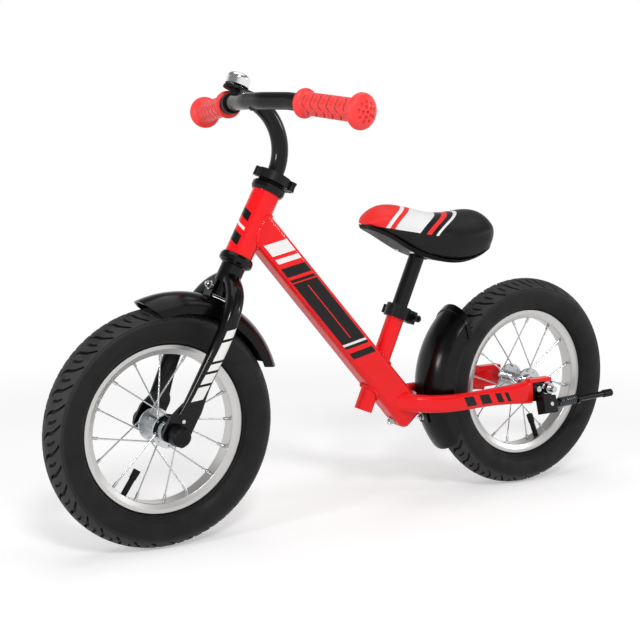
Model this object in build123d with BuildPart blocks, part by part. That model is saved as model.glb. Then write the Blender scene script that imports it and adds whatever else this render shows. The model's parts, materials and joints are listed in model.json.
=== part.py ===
from build123d import *
from math import atan2, ceil, cos, degrees, pi, radians, sin, sqrt
import os

# A child's balance bike, in millimetres. +X is forward, +Y is the rider's left and +Z is up.
# The origin is on the ground, midway between the wheels, in the bike's middle plane.

# Fits
SEAT_GAP = 0.15
RUNNING_FIT = 0.06
THREAD_FIT = 0.03
SLIDE_FIT = 0.05
BODY_GAP = 0.5

# Wheels
WHEELBASE = 592.0
TYRE_DIAMETER = 311.0
TYRE_WIDTH = 54.0
TYRE_SIDEWALL = 3.0
TYRE_TREAD = 4.5
SHOULDER_DROP = 9.5
SHOULDER_INSET = 4.5
BEAD_SEAT_DIAMETER = 203.0
BEAD_WIDTH = 4.5
RIM_DIAMETER = 218.0
RIM_WIDTH = 27.0
RIM_DEPTH = 12.5
RIM_WALL = 2.2
RIM_SHOULDER = 5.5
RIM_TAPER = 3.2
RIM_WELL_WIDTH = 11.0
RIM_WELL_DEPTH = 2.5
RIM_CORNER = 0.8
INNER_TUBE_WALL = 1.5
VALVE_DIAMETER = 7.6
VALVE_TIP_RADIUS = 62.0
VALVE_CAP_DIAMETER = 10.0
VALVE_CAP_LENGTH = 13.0
VALVE_CAP_WALL = 1.1
SPOKE_COUNT = 16
SPOKE_DIAMETER = 2.0
SPOKE_HEAD_DIAMETER = 3.6
SPOKE_HEAD_LENGTH = 1.0
SPOKE_BEND_RADIUS = 1.8
SPOKE_OUTER_LIFT = 1.6
SPOKE_RIM_STAGGER = 1.5
NIPPLE_DIAMETER = 4.0
NIPPLE_HEAD_DIAMETER = 5.6
NIPPLE_HEAD_LENGTH = 1.8
NIPPLE_LENGTH = 13.0
NIPPLE_HEAD_LIFT = 1.0

# Hubs and axles
FLANGE_DIAMETER = 44.0
FLANGE_THICKNESS = 3.0
FLANGE_SPACING = 42.0
SPOKE_CIRCLE_DIAMETER = 37.0
SPOKE_HOLE_DIAMETER = 2.7
HUB_BARREL_DIAMETER = 21.0
HUB_CUP_DIAMETER = 26.0
HUB_END_WIDTH = 54.0
HUB_BORE_DIAMETER = 12.0
HUB_POCKET_DEPTH = 9.0
AXLE_DIAMETER = 9.5
AXLE_END_DIAMETER = 9.0
HUB_BALL_DIAMETER = 4.0
HUB_BALL_PITCH_DIAMETER = 15.4
HUB_BALL_COUNT = 9
CAGE_WIRE_DIAMETER = 1.4
CONE_SHOULDER_DIAMETER = 18.0
CONE_SPACER_DIAMETER = 14.0
AXLE_NUT_FLATS = 15.0
AXLE_NUT_HEIGHT = 8.0
AXLE_WASHER_DIAMETER = 19.0
AXLE_WASHER_THICKNESS = 1.6
FRONT_AXLE_STICKOUT = 2.0
REAR_AXLE_STICKOUT = 9.0
AXLE_CAP_DIAMETER = 28.0
AXLE_CAP_HEIGHT = 17.0
AXLE_CAP_WALL = 2.0
AXLE_CAP_TAPER = 6.0
AXLE_CAP_ROUND = 6.0
TAB_SCREW_DIAMETER = 5.0
TAB_SCREW_HEIGHT = 2.4

# Steering axis and headset
HEAD_ANGLE = 62.3
HEAD_TUBE_HEIGHT = 241.0
HEAD_TUBE_LENGTH = 90.0
HEAD_TUBE_DIAMETER = 37.0
HEAD_TUBE_BORE = 30.2
CUP_DIAMETER = 45.0
CUP_LIP_DIAMETER = 41.0
CUP_HEIGHT = 12.0
CUP_INSERT_DEPTH = 10.0
CUP_THROAT_DIAMETER = 27.0
HEADSET_BALL_DIAMETER = 4.4
HEADSET_BALL_PITCH_DIAMETER = 33.2
HEADSET_BALL_COUNT = 18
RACE_SHOULDER_DIAMETER = 37.0
RACE_SHOULDER_HEIGHT = 3.0
STEERER_DIAMETER = 25.4
STEERER_RISE = 12.35

# Fork
CROWN_DIAMETER = 32.0
CROWN_BOTTOM = 182.0
FORK_DROPOUT_SIDE = 44.0
FORK_DROPOUT_THICKNESS = 5.0
FORK_TIP_DIAMETER = 31.0
FORK_TIP_WIDTH = 36.0
FORK_TIP_FOOT = 13.0
FORK_TIP_HEAD = 22.0
FORK_TIP_CORNER = 7.0
FORK_TIP_NECK_DIAMETER = 29.0
FORK_TIP_LENGTH = 32.0
FORK_TIP_BACK = 4.0
FORK_CORNER_SHARE = 0.46
# Each row: height along the steering axis, distance to the side and behind it, depth, thickness.
FORK_SECTIONS = (
    (208.0, 8.0, 0.5, 25.0, 21.0),
    (197.0, 27.0, -0.5, 25.0, 20.0),
    (181.0, 44.0, -1.5, 23.5, 19.0),
    (156.0, 54.5, -2.2, 22.5, 18.0),
    (125.0, 57.0, -1.8, 23.0, 17.0),
    (90.0, 54.0, -0.8, 23.0, 15.5),
    (55.0, 50.0, 1.5, 25.0, 13.0),
    (26.0, 46.5, 3.5, 28.0, 8.0),
)

# Handlebar, its clamp and the grips
BAR_DIAMETER = 22.2
BAR_WALL = 2.0
STEM_INSERTION = 95.0
STEM_BEND_RADIUS = 68.5
STEM_BEND_ANGLE = 80.0
STEM_REACH = 13.5
BAR_MIDDLE_HALF = 22.0
BAR_BEND_SIDE = 68.0
BAR_BEND_DROP = 0.6
BAR_BEND_BACK = 9.7
BAR_END_SIDE = 205.0
BAR_END_DROP = 14.2
BAR_END_BACK = 31.2
BAR_BEND_RADIUS = 70.0
GRIP_LENGTH = 116.0
GRIP_DIAMETER = 28.4
GRIP_FLANGE_DIAMETER = 37.0
GRIP_FLANGE_LENGTH = 5.0
GRIP_KNOB_DIAMETER = 44.0
GRIP_KNOB_LENGTH = 24.0
GRIP_END_WALL = 7.0
GRIP_FACE_CROWN = 4.0
GRIP_FACE_SHARE = 0.72
CLAMP_HEIGHT = 13.0
CLAMP_WALL = 4.8
CLAMP_SLOT = 3.0
EAR_THICKNESS = 6.0
EAR_LENGTH = 12.0
SKEWER_DIAMETER = 5.0
SKEWER_EYE_DIAMETER = 9.0
SKEWER_EYE_THICKNESS = 6.0
LEVER_PIN_DIAMETER = 3.6
LEVER_CHEEK_DIAMETER = 10.0
LEVER_CHEEK_THICKNESS = 3.0
LEVER_GAP = 1.5
LEVER_BAND = 4.5
LEVER_ARM_HEIGHT = 12.0
LEVER_TIP_DIAMETER = 9.0
LEVER_TIP_LIFT = 1.2
LEVER_SIDE_GAP = 0.35
BAR_LEVER_WRAP = 166.0
SEAT_LEVER_WRAP = 75.0
CLAMP_NUT_DIAMETER = 10.0
CLAMP_NUT_LENGTH = 13.0
SOCKET_DIAMETER = 4.6
SOCKET_DEPTH = 4.0

# Bell
BELL_SIDE = 87.0
BELL_TILT = 20.0
BELL_CLAMP_WIDTH = 11.0
BELL_CLAMP_WALL = 3.0
BELL_NECK_DIAMETER = 14.0
BELL_NECK_LENGTH = 5.0
BELL_BASE_DIAMETER = 35.0
BELL_BASE_THICKNESS = 3.0
BELL_DOME_DIAMETER = 33.0
BELL_DOME_HEIGHT = 16.0
BELL_DOME_WALL = 1.2
BELL_DOME_ROUND = 7.0
BELL_POST_DIAMETER = 6.0
BELL_SCREW_DIAMETER = 8.0
BELL_SCREW_HEIGHT = 2.2
BELL_SCREW_SHANK = 3.0
BELL_LEVER_PIVOT_RADIUS = 9.5
BELL_LEVER_PIN_DIAMETER = 2.6
BELL_LEVER_THICKNESS = 2.4
BELL_LEVER_LENGTH = 17.0
BELL_LEVER_WIDTH = 7.0
BELL_HAMMER_REACH = 8.0
BELL_HAMMER_ANGLE = 72.0
BELL_HAMMER_DIAMETER = 3.2
BELL_HAMMER_HEIGHT = 8.0

# Frame tubes
MAIN_TUBE_SLOPE = 48.5
MAIN_TUBE_JOIN = 289.0
MAIN_TUBE_LENGTH = 386.0
MAIN_TUBE_WIDTH = 36.0
MAIN_TUBE_DEPTH_TOP = 42.0
MAIN_TUBE_DEPTH_BOTTOM = 47.0
MAIN_TUBE_CORNER = 9.0
MAIN_TUBE_WALL = 2.0
MAIN_TUBE_END_ROUND = 12.0
SEAT_ANGLE = 67.2
SEAT_TUBE_FOOT_X = -12.3
SEAT_TUBE_FOOT_Z = 142.0
SEAT_TUBE_LENGTH = 153.0
SEAT_TUBE_DIAMETER = 25.4
SEAT_POST_DIAMETER = 22.2
SEAT_CLAMP_HEIGHT = 18.0
SEAT_CLAMP_OVERLAP = 15.5
STAY_CORNER_SHARE = 0.47
# Each row: X, distance to the side, middle height, thickness, depth.
STAY_SECTIONS = (
    (-52.0, 4.0, 151.0, 17.0, 25.0),
    (-78.0, 26.0, 150.0, 17.0, 25.0),
    (-108.0, 43.5, 148.5, 17.0, 25.0),
    (-160.0, 49.0, 148.0, 16.5, 25.0),
    (-225.0, 53.0, 150.0, 15.0, 27.5),
    (-270.5, 56.0, 152.0, 12.0, 37.0),
)
DROPOUT_SIDE = 55.5
DROPOUT_THICKNESS = 6.0
DROPOUT_LENGTH = 42.0
DROPOUT_TAIL = 8.0
DROPOUT_TOP = 15.5
DROPOUT_CORNER = 3.0
DROPOUT_BOTTOM = 17.0
DROPOUT_LOWER_TAIL = 6.0
PRONG_THICKNESS = 9.0
PRONG_WIDTH = 11.0
PRONG_LIP = 5.5
AXLE_SLOT_CLEARANCE = 0.4

# Seat post and saddle
POST_INSERTION = 78.0
POST_WALL = 2.0
SADDLE_HEIGHT = 230.0
SOCKET_HEIGHT = 20.0
SOCKET_OUTER_DIAMETER = 30.0
SADDLE_SCREW_SIDE = 18.0
SADDLE_SCREW_DIAMETER = 4.0
SADDLE_SCREW_HEAD_DIAMETER = 8.0
SADDLE_SCREW_HEAD_HEIGHT = 2.5
SADDLE_SCREW_SINK = 1.5
SADDLE_SCREW_GRIP = 10.0
# Rows of the table below that carry a pair of screws.
SADDLE_SCREW_ROWS = (4, 6)
SADDLE_BASE_DEPTH = 6.0
PAD_FOOT_SHARE = 0.82
BASE_EDGE_INSET = 1.5
BASE_TOP_GAP = 1.2
PAD_TUCK_SHARE = 0.99
# Each row: distance ahead of the post's top, half width, top, widest height and underside above it.
SADDLE_SECTIONS = (
    (95.5, 7.0, 50.5, 48.3, 45.0),
    (90.0, 18.5, 58.0, 54.0, 49.0),
    (76.5, 29.5, 70.5, 58.5, 43.0),
    (52.5, 36.0, 76.5, 56.5, 31.0),
    (21.0, 38.5, 71.5, 45.5, 14.0),
    (-13.0, 48.0, 63.5, 36.0, 2.0),
    (-46.0, 57.0, 62.0, 33.5, -2.0),
    (-75.0, 58.5, 65.0, 37.0, 3.0),
    (-96.0, 52.0, 64.0, 39.5, 10.0),
    (-106.0, 41.0, 58.0, 40.0, 15.5),
    (-110.5, 22.0, 46.0, 35.5, 25.0),
)

# Fenders
FENDER_RADIUS = 147.0
FENDER_LIP = 1.8
FENDER_LIP_ANGLE = 4.0
FENDER_SHOULDER_DEPTH = 15.0
FENDER_WALL = 2.2
FENDER_TRIM_MARGIN = 5.0
FENDER_TRIM_ANGLE = 15.0
FRONT_FENDER_HALF_WIDTH = 31.0
FRONT_FENDER_SKIRT_DEPTH = 25.0
FRONT_FENDER_OFFSET = 33.6
FRONT_FENDER_OFFSET_ANGLE = 128.0
FRONT_FENDER_NOSE = 68.7
FRONT_FENDER_NOSE_SKIRT = 78.5
FRONT_FENDER_TAIL = 164.5
FRONT_FENDER_TAIL_SKIRT = 157.7
REAR_FENDER_HALF_WIDTH = 34.0
REAR_FENDER_SKIRT_DEPTH = 34.0
REAR_FENDER_OFFSET = 38.0
REAR_FENDER_OFFSET_ANGLE = 14.0
REAR_FENDER_HIGH = 52.0
REAR_FENDER_HIGH_SKIRT = 40.0
REAR_FENDER_LOW = -41.5
REAR_FENDER_LOW_SKIRT = -28.5
FENDER_TAB_WIDTH = 20.0
FENDER_TAB_THICKNESS = 3.0
FENDER_TAB_FOOT = 176.3
FENDER_TAB_TOP = 201.0
FENDER_BOLT_HEIGHT = 191.0
FENDER_BOLT_DIAMETER = 5.0
FENDER_BOLT_STICKOUT = 2.5
FENDER_NUT_FLATS = 8.0
FENDER_NUT_HEIGHT = 4.0
FENDER_WASHER_DIAMETER = 12.0
FENDER_WASHER_THICKNESS = 1.4
FENDER_HOLLOW_SAG = 0.7
BRACKET_STRIP_THICKNESS = 2.5
BRACKET_STRIP_WIDTH = 20.0
BRACKET_LOW = -21.0
BRACKET_HIGH = 2.0
BRACKET_BOLT_ANGLE = -16.5
BRACKET_TONGUE_WIDTH = 14.0
BRACKET_TONGUE_LOW = -13.0
BRACKET_TONGUE_HIGH = -7.0
BRACKET_TONGUE_LENGTH = 24.0
MAIN_BOLT_UP = 21.5

# Kickstand
STAND_PIVOT_AHEAD = 6.0
STAND_PIVOT_SIDE = 73.0
STAND_PIVOT_Z = 132.7
STAND_TILT = 17.0
STAND_RISE = 2.0
STAND_LENGTH = 125.0
STAND_ROD_DIAMETER = 9.0
STAND_KNUCKLE_DIAMETER = 16.0
STAND_KNUCKLE_WIDTH = 11.0
STAND_PIN_DIAMETER = 6.0
STAND_PIN_STICKOUT = 0.8
STAND_PLATE = 3.0
STAND_PLATE_AHEAD = 23.5
STAND_PLATE_TAIL = 11.0
STAND_PLATE_TOP = 9.0
STAND_PLATE_BOTTOM = 18.5
STAND_CHEEK_GAP = 0.5
STAND_CHEEK_HALF = 13.0
STAND_CHEEK_BACK = 10.0
STAND_CHEEK_AHEAD = 14.0
STAND_CHEEK_RISE = 14.0
STAND_CHEEK_CORNER = 2.0
STAND_BOLT_AHEAD = 16.5
STAND_BOLT_DIAMETER = 5.0
STAND_BOLT_HEAD_DIAMETER = 9.0
STAND_BOLT_HEAD_HEIGHT = 4.0
STAND_SPRING_START = 20.0
STAND_SPRING_TURNS = 9
STAND_SPRING_PITCH = 3.7
STAND_SPRING_WIRE = 2.2
STAND_SPRING_CLEARANCE = 0.4
STAND_COLLAR_DIAMETER = 15.0
STAND_COLLAR_LENGTH = 4.0
STAND_FOOT_DIAMETER = 11.5
STAND_FOOT_LENGTH = 17.0
STAND_FOOT_WALL = 2.0


os.makedirs("parts", exist_ok=True)

# Places that several pieces share
axle_height = TYRE_DIAMETER / 2
front_x = WHEELBASE / 2
rear_x = -WHEELBASE / 2
left = Vector(0, 1, 0)
front_axle_point = Vector(front_x, 0, axle_height)
head_up = Vector(-cos(radians(HEAD_ANGLE)), 0, sin(radians(HEAD_ANGLE)))
head_ahead = Vector(sin(radians(HEAD_ANGLE)), 0, cos(radians(HEAD_ANGLE)))
seat_up = Vector(-cos(radians(SEAT_ANGLE)), 0, sin(radians(SEAT_ANGLE)))
seat_ahead = Vector(sin(radians(SEAT_ANGLE)), 0, cos(radians(SEAT_ANGLE)))
seat_foot = Vector(SEAT_TUBE_FOOT_X, 0, SEAT_TUBE_FOOT_Z)
steering_axis = Axis(front_axle_point, head_up)
steering_section = Plane(origin=front_axle_point, x_dir=head_ahead, z_dir=-left)


def save(builder, name):
    """Label a finished piece and write it to its own file."""
    builder.part.label = name
    export_step(builder.part, f"parts/{name}.step")


def steering_point(height, side=0.0, ahead=0.0):
    """Point on the steering axis at a height above the front axle, moved sideways and ahead."""
    return front_axle_point + head_up * height + left * side + head_ahead * ahead


def steering_plane(height):
    """Plane square to the steering axis: local x is ahead, local y is left."""
    return Plane(origin=steering_point(height), x_dir=head_ahead, z_dir=head_up)


def seat_plane(height):
    """Plane square to the seat tube: local x is ahead, local y is left."""
    return Plane(origin=seat_foot + seat_up * height, x_dir=seat_ahead, z_dir=seat_up)


def wheel_section(x):
    """Plane through an axle: local x is to the left, local y is the radius."""
    return Plane(origin=(x, 0, axle_height), x_dir=(0, 1, 0), z_dir=(1, 0, 0))


def wheel_axis(x):
    """Axis of one wheel."""
    return Axis((x, 0, axle_height), (0, 1, 0))


def wheel_face(x, side):
    """Plane square to an axle: local x is ahead, local y is up, and it faces right."""
    return Plane(origin=(x, side, axle_height), x_dir=(1, 0, 0), z_dir=(0, -1, 0))


def wheel_point(x, radius, angle, side):
    """Point of a wheel at a radius, at an angle up from straight ahead."""
    return Vector(x + radius * cos(radians(angle)), side, axle_height + radius * sin(radians(angle)))


def ball_cage(plane, pitch_diameter, ball_diameter, count):
    """Ring of bearing balls on a cage wire, round the normal of a plane."""
    with BuildPart() as cage:
        with BuildSketch(Plane(origin=plane.from_local_coords((pitch_diameter / 2, 0, 0)), z_dir=plane.y_dir)):
            Circle(CAGE_WIRE_DIAMETER / 2)
        revolve(axis=Axis(plane.origin, plane.z_dir))
        with Locations(plane):
            with PolarLocations(pitch_diameter / 2, count):
                Sphere(ball_diameter / 2)
    return cage.part


# Wheels
tyre_radius = TYRE_DIAMETER / 2
rim_radius = RIM_DIAMETER / 2
rim_floor = BEAD_SEAT_DIAMETER / 2 - RIM_WELL_DEPTH
bead_foot = BEAD_SEAT_DIAMETER / 2 + SEAT_GAP
bead_outside = RIM_WIDTH / 2 - RIM_WALL - SEAT_GAP
bead_inside = bead_outside - BEAD_WIDTH
shoulder_radius = tyre_radius - SHOULDER_DROP
shoulder_side = TYRE_WIDTH / 2 - SHOULDER_INSET
widest_radius = (rim_radius + shoulder_radius) / 2
cavity_height = (tyre_radius - TYRE_TREAD - rim_radius) / 2
inner_tube_radius = min(cavity_height, TYRE_WIDTH / 2 - TYRE_SIDEWALL) - BODY_GAP
inner_tube_pitch = tyre_radius - TYRE_TREAD - BODY_GAP - inner_tube_radius
flange_inside = (FLANGE_SPACING - FLANGE_THICKNESS) / 2
flange_outside = (FLANGE_SPACING + FLANGE_THICKNESS) / 2
hub_end = HUB_END_WIDTH / 2
hub_pocket_floor = hub_end - HUB_POCKET_DEPTH
hub_pocket_radius = (HUB_BALL_PITCH_DIAMETER + HUB_BALL_DIAMETER) / 2 + RUNNING_FIT
spoke_step = 360 / SPOKE_COUNT
spoke_tip_radius = rim_floor + NIPPLE_HEAD_LIFT + NIPPLE_HEAD_LENGTH / 2


def spoke_corners(x, first_angle, turn, index):
    """Head, bend and tip of one spoke; neighbours take turns between flanges and lean in pairs."""
    hand = 1 if index % 2 == 0 else -1
    lean = -1 if index // 2 % 2 == 0 else 1
    rim_angle = first_angle + turn * index * spoke_step
    hub_angle = rim_angle + turn * lean * 2 * spoke_step
    hub_radius = SPOKE_CIRCLE_DIAMETER / 2
    bend_reach = FLANGE_THICKNESS / 2 + SEAT_GAP + SPOKE_DIAMETER / 2 + (SPOKE_OUTER_LIFT if lean > 0 else 0)
    head_reach = FLANGE_THICKNESS / 2 + SEAT_GAP + SPOKE_HEAD_LENGTH
    head = wheel_point(x, hub_radius, hub_angle, hand * (FLANGE_SPACING / 2 - lean * head_reach))
    bend = wheel_point(x, hub_radius, hub_angle, hand * (FLANGE_SPACING / 2 + lean * bend_reach))
    tip = wheel_point(x, spoke_tip_radius, rim_angle, hand * SPOKE_RIM_STAGGER)
    return head, bend, tip


# Each row: wheel name, axle position, first spoke's angle, way the spokes are counted, valve's angle.
WHEELS = (
    ("front", front_x, 0.0, 1, -2.5 * spoke_step),
    ("rear", rear_x, 3.5 * spoke_step, -1, -5 * spoke_step),
)

for wheel, wheel_x, first_angle, turn, valve_angle in WHEELS:
    with BuildPart() as tyre:
        with BuildSketch(wheel_section(wheel_x)):
            with BuildLine():
                Polyline((-bead_outside, rim_radius + BODY_GAP), (-bead_outside, bead_foot), (-bead_inside, bead_foot),
                         (-bead_inside, rim_radius))
                ThreePointArc((-bead_inside, rim_radius), (-TYRE_WIDTH / 2 + TYRE_SIDEWALL, widest_radius),
                              (-shoulder_side + TYRE_SIDEWALL, shoulder_radius))
                ThreePointArc((-shoulder_side + TYRE_SIDEWALL, shoulder_radius), (0, tyre_radius - TYRE_TREAD),
                              (shoulder_side - TYRE_SIDEWALL, shoulder_radius))
                ThreePointArc((shoulder_side - TYRE_SIDEWALL, shoulder_radius),
                              (TYRE_WIDTH / 2 - TYRE_SIDEWALL, widest_radius), (bead_inside, rim_radius))
                Polyline((bead_inside, rim_radius), (bead_inside, bead_foot), (bead_outside, bead_foot),
                         (bead_outside, rim_radius + BODY_GAP))
                ThreePointArc((bead_outside, rim_radius + BODY_GAP), (TYRE_WIDTH / 2, widest_radius),
                              (shoulder_side, shoulder_radius))
                ThreePointArc((shoulder_side, shoulder_radius), (0, tyre_radius), (-shoulder_side, shoulder_radius))
                ThreePointArc((-shoulder_side, shoulder_radius), (-TYRE_WIDTH / 2, widest_radius),
                              (-bead_outside, rim_radius + BODY_GAP))
            make_face()
        revolve(axis=wheel_axis(wheel_x))
    save(tyre, f"{wheel}_tyre")

    with BuildPart() as inner_tube:
        with BuildSketch(wheel_section(wheel_x)):
            with Locations((0, inner_tube_pitch)):
                Circle(inner_tube_radius)
                Circle(inner_tube_radius - INNER_TUBE_WALL, mode=Mode.SUBTRACT)
        revolve(axis=wheel_axis(wheel_x))
        valve_foot = inner_tube_pitch - inner_tube_radius + INNER_TUBE_WALL / 2
        valve_tip = wheel_point(wheel_x, VALVE_TIP_RADIUS, valve_angle, 0)
        valve_way = wheel_point(wheel_x, 1, valve_angle, 0) - Vector(wheel_x, 0, axle_height)
        with BuildSketch(Plane(origin=valve_tip, z_dir=valve_way)):
            Circle(VALVE_DIAMETER / 2)
        extrude(amount=valve_foot - VALVE_TIP_RADIUS)
    save(inner_tube, f"{wheel}_inner_tube")

    with BuildPart() as valve_cap:
        with BuildSketch(Plane(origin=valve_tip - valve_way * (VALVE_CAP_WALL + THREAD_FIT), z_dir=valve_way)):
            Circle(VALVE_CAP_DIAMETER / 2)
        extrude(amount=VALVE_CAP_LENGTH, taper=2)
        with BuildSketch(Plane(origin=valve_tip - valve_way * THREAD_FIT, z_dir=valve_way)):
            Circle(VALVE_DIAMETER / 2 + THREAD_FIT)
        extrude(amount=VALVE_CAP_LENGTH, mode=Mode.SUBTRACT)
    save(valve_cap, f"{wheel}_valve_cap")

    with BuildPart() as rim:
        with BuildSketch(wheel_section(wheel_x)) as rim_profile:
            Polygon(
                (RIM_WIDTH / 2, rim_radius),
                (RIM_WIDTH / 2, rim_radius - RIM_SHOULDER),
                (RIM_WIDTH / 2 - RIM_TAPER, rim_radius - RIM_DEPTH),
                (RIM_TAPER - RIM_WIDTH / 2, rim_radius - RIM_DEPTH),
                (-RIM_WIDTH / 2, rim_radius - RIM_SHOULDER),
                (-RIM_WIDTH / 2, rim_radius),
                (RIM_WALL - RIM_WIDTH / 2, rim_radius),
                (RIM_WALL - RIM_WIDTH / 2, bead_foot - SEAT_GAP),
                (-RIM_WELL_WIDTH / 2, bead_foot - SEAT_GAP),
                (-RIM_WELL_WIDTH / 2 + RIM_CORNER, rim_floor),
                (RIM_WELL_WIDTH / 2 - RIM_CORNER, rim_floor),
                (RIM_WELL_WIDTH / 2, bead_foot - SEAT_GAP),
                (RIM_WIDTH / 2 - RIM_WALL, bead_foot - SEAT_GAP),
                (RIM_WIDTH / 2 - RIM_WALL, rim_radius),
                align=None,
            )
            fillet(rim_profile.vertices().group_by(Axis.Y)[0], 2 * RIM_CORNER)
            fillet(rim_profile.vertices().group_by(Axis.Y)[-1], RIM_CORNER)
        revolve(axis=wheel_axis(wheel_x))
        for index in range(SPOKE_COUNT):
            head, bend, tip = spoke_corners(wheel_x, first_angle, turn, index)
            with BuildSketch(Plane(origin=tip, z_dir=bend - tip)):
                Circle(NIPPLE_DIAMETER / 2 + SEAT_GAP)
            extrude(amount=RIM_DEPTH, mode=Mode.SUBTRACT)
        with BuildSketch(Plane(origin=valve_tip, z_dir=valve_way)):
            Circle(VALVE_DIAMETER / 2 + SEAT_GAP)
        extrude(amount=rim_radius - VALVE_TIP_RADIUS, mode=Mode.SUBTRACT)
    save(rim, f"{wheel}_rim")

    with BuildPart() as spokes:
        for index in range(SPOKE_COUNT):
            head, bend, tip = spoke_corners(wheel_x, first_angle, turn, index)
            with BuildLine():
                FilletPolyline(head, bend, tip, radius=SPOKE_BEND_RADIUS)
            with BuildSketch(Plane(origin=head, z_dir=bend - head)):
                Circle(SPOKE_DIAMETER / 2)
            sweep()
            with BuildSketch(Plane(origin=head, z_dir=bend - head)):
                Circle(SPOKE_HEAD_DIAMETER / 2)
            extrude(amount=SPOKE_HEAD_LENGTH)
        for index in range(SPOKE_COUNT):
            head, bend, tip = spoke_corners(wheel_x, first_angle, turn, index)
            inward = (bend - tip).normalized()
            with BuildSketch(Plane(origin=tip - inward * NIPPLE_HEAD_LENGTH / 2, z_dir=inward)):
                Circle(NIPPLE_HEAD_DIAMETER / 2)
                Circle(SPOKE_DIAMETER / 2 + THREAD_FIT, mode=Mode.SUBTRACT)
            extrude(amount=NIPPLE_HEAD_LENGTH)
            with BuildSketch(Plane(origin=tip + inward * NIPPLE_HEAD_LENGTH / 2, z_dir=inward)):
                Circle(NIPPLE_DIAMETER / 2)
                Circle(SPOKE_DIAMETER / 2 + THREAD_FIT, mode=Mode.SUBTRACT)
            extrude(amount=NIPPLE_LENGTH)
    save(spokes, f"{wheel}_spokes")

    with BuildPart() as hub:
        with BuildSketch(wheel_section(wheel_x)):
            Polygon(
                (0, HUB_BARREL_DIAMETER / 2),
                (flange_inside, HUB_BARREL_DIAMETER / 2),
                (flange_inside, FLANGE_DIAMETER / 2),
                (flange_outside, FLANGE_DIAMETER / 2),
                (flange_outside, HUB_CUP_DIAMETER / 2),
                (hub_end, HUB_CUP_DIAMETER / 2),
                (hub_end, hub_pocket_radius),
                (hub_pocket_floor, hub_pocket_radius),
                (hub_pocket_floor, HUB_BORE_DIAMETER / 2),
                (0, HUB_BORE_DIAMETER / 2),
                align=None,
            )
        revolve(axis=wheel_axis(wheel_x))
        mirror(about=Plane.XZ)
        for hand in (1, -1):
            start = first_angle if hand > 0 else first_angle + spoke_step
            with BuildSketch(wheel_face(wheel_x, hand * FLANGE_SPACING / 2)):
                with PolarLocations(SPOKE_CIRCLE_DIAMETER / 2, SPOKE_COUNT // 2, start_angle=start):
                    Circle(SPOKE_HOLE_DIAMETER / 2)
            extrude(amount=FLANGE_THICKNESS, both=True, mode=Mode.SUBTRACT)
    save(hub, f"{wheel}_hub")

# Axles, hub bearings and axle nuts
ball_side = hub_pocket_floor + RUNNING_FIT + HUB_BALL_DIAMETER / 2
race_radius = (HUB_BALL_PITCH_DIAMETER - HUB_BALL_DIAMETER) / 2 - RUNNING_FIT
front_seat = FORK_DROPOUT_SIDE - FORK_DROPOUT_THICKNESS / 2
rear_seat = DROPOUT_SIDE - DROPOUT_THICKNESS / 2
front_outside = FORK_DROPOUT_SIDE + FORK_DROPOUT_THICKNESS / 2
rear_outside = DROPOUT_SIDE + DROPOUT_THICKNESS / 2
nut_stack = AXLE_WASHER_THICKNESS + AXLE_NUT_HEIGHT
# Each row: wheel, axle position, inner face of the dropout, seat of the left nut and of the right one, stickout.
AXLES = (
    ("front", front_x, front_seat, front_outside, front_outside, FRONT_AXLE_STICKOUT),
    ("rear", rear_x, rear_seat, rear_outside + STAND_PLATE, rear_outside, REAR_AXLE_STICKOUT),
)

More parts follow.
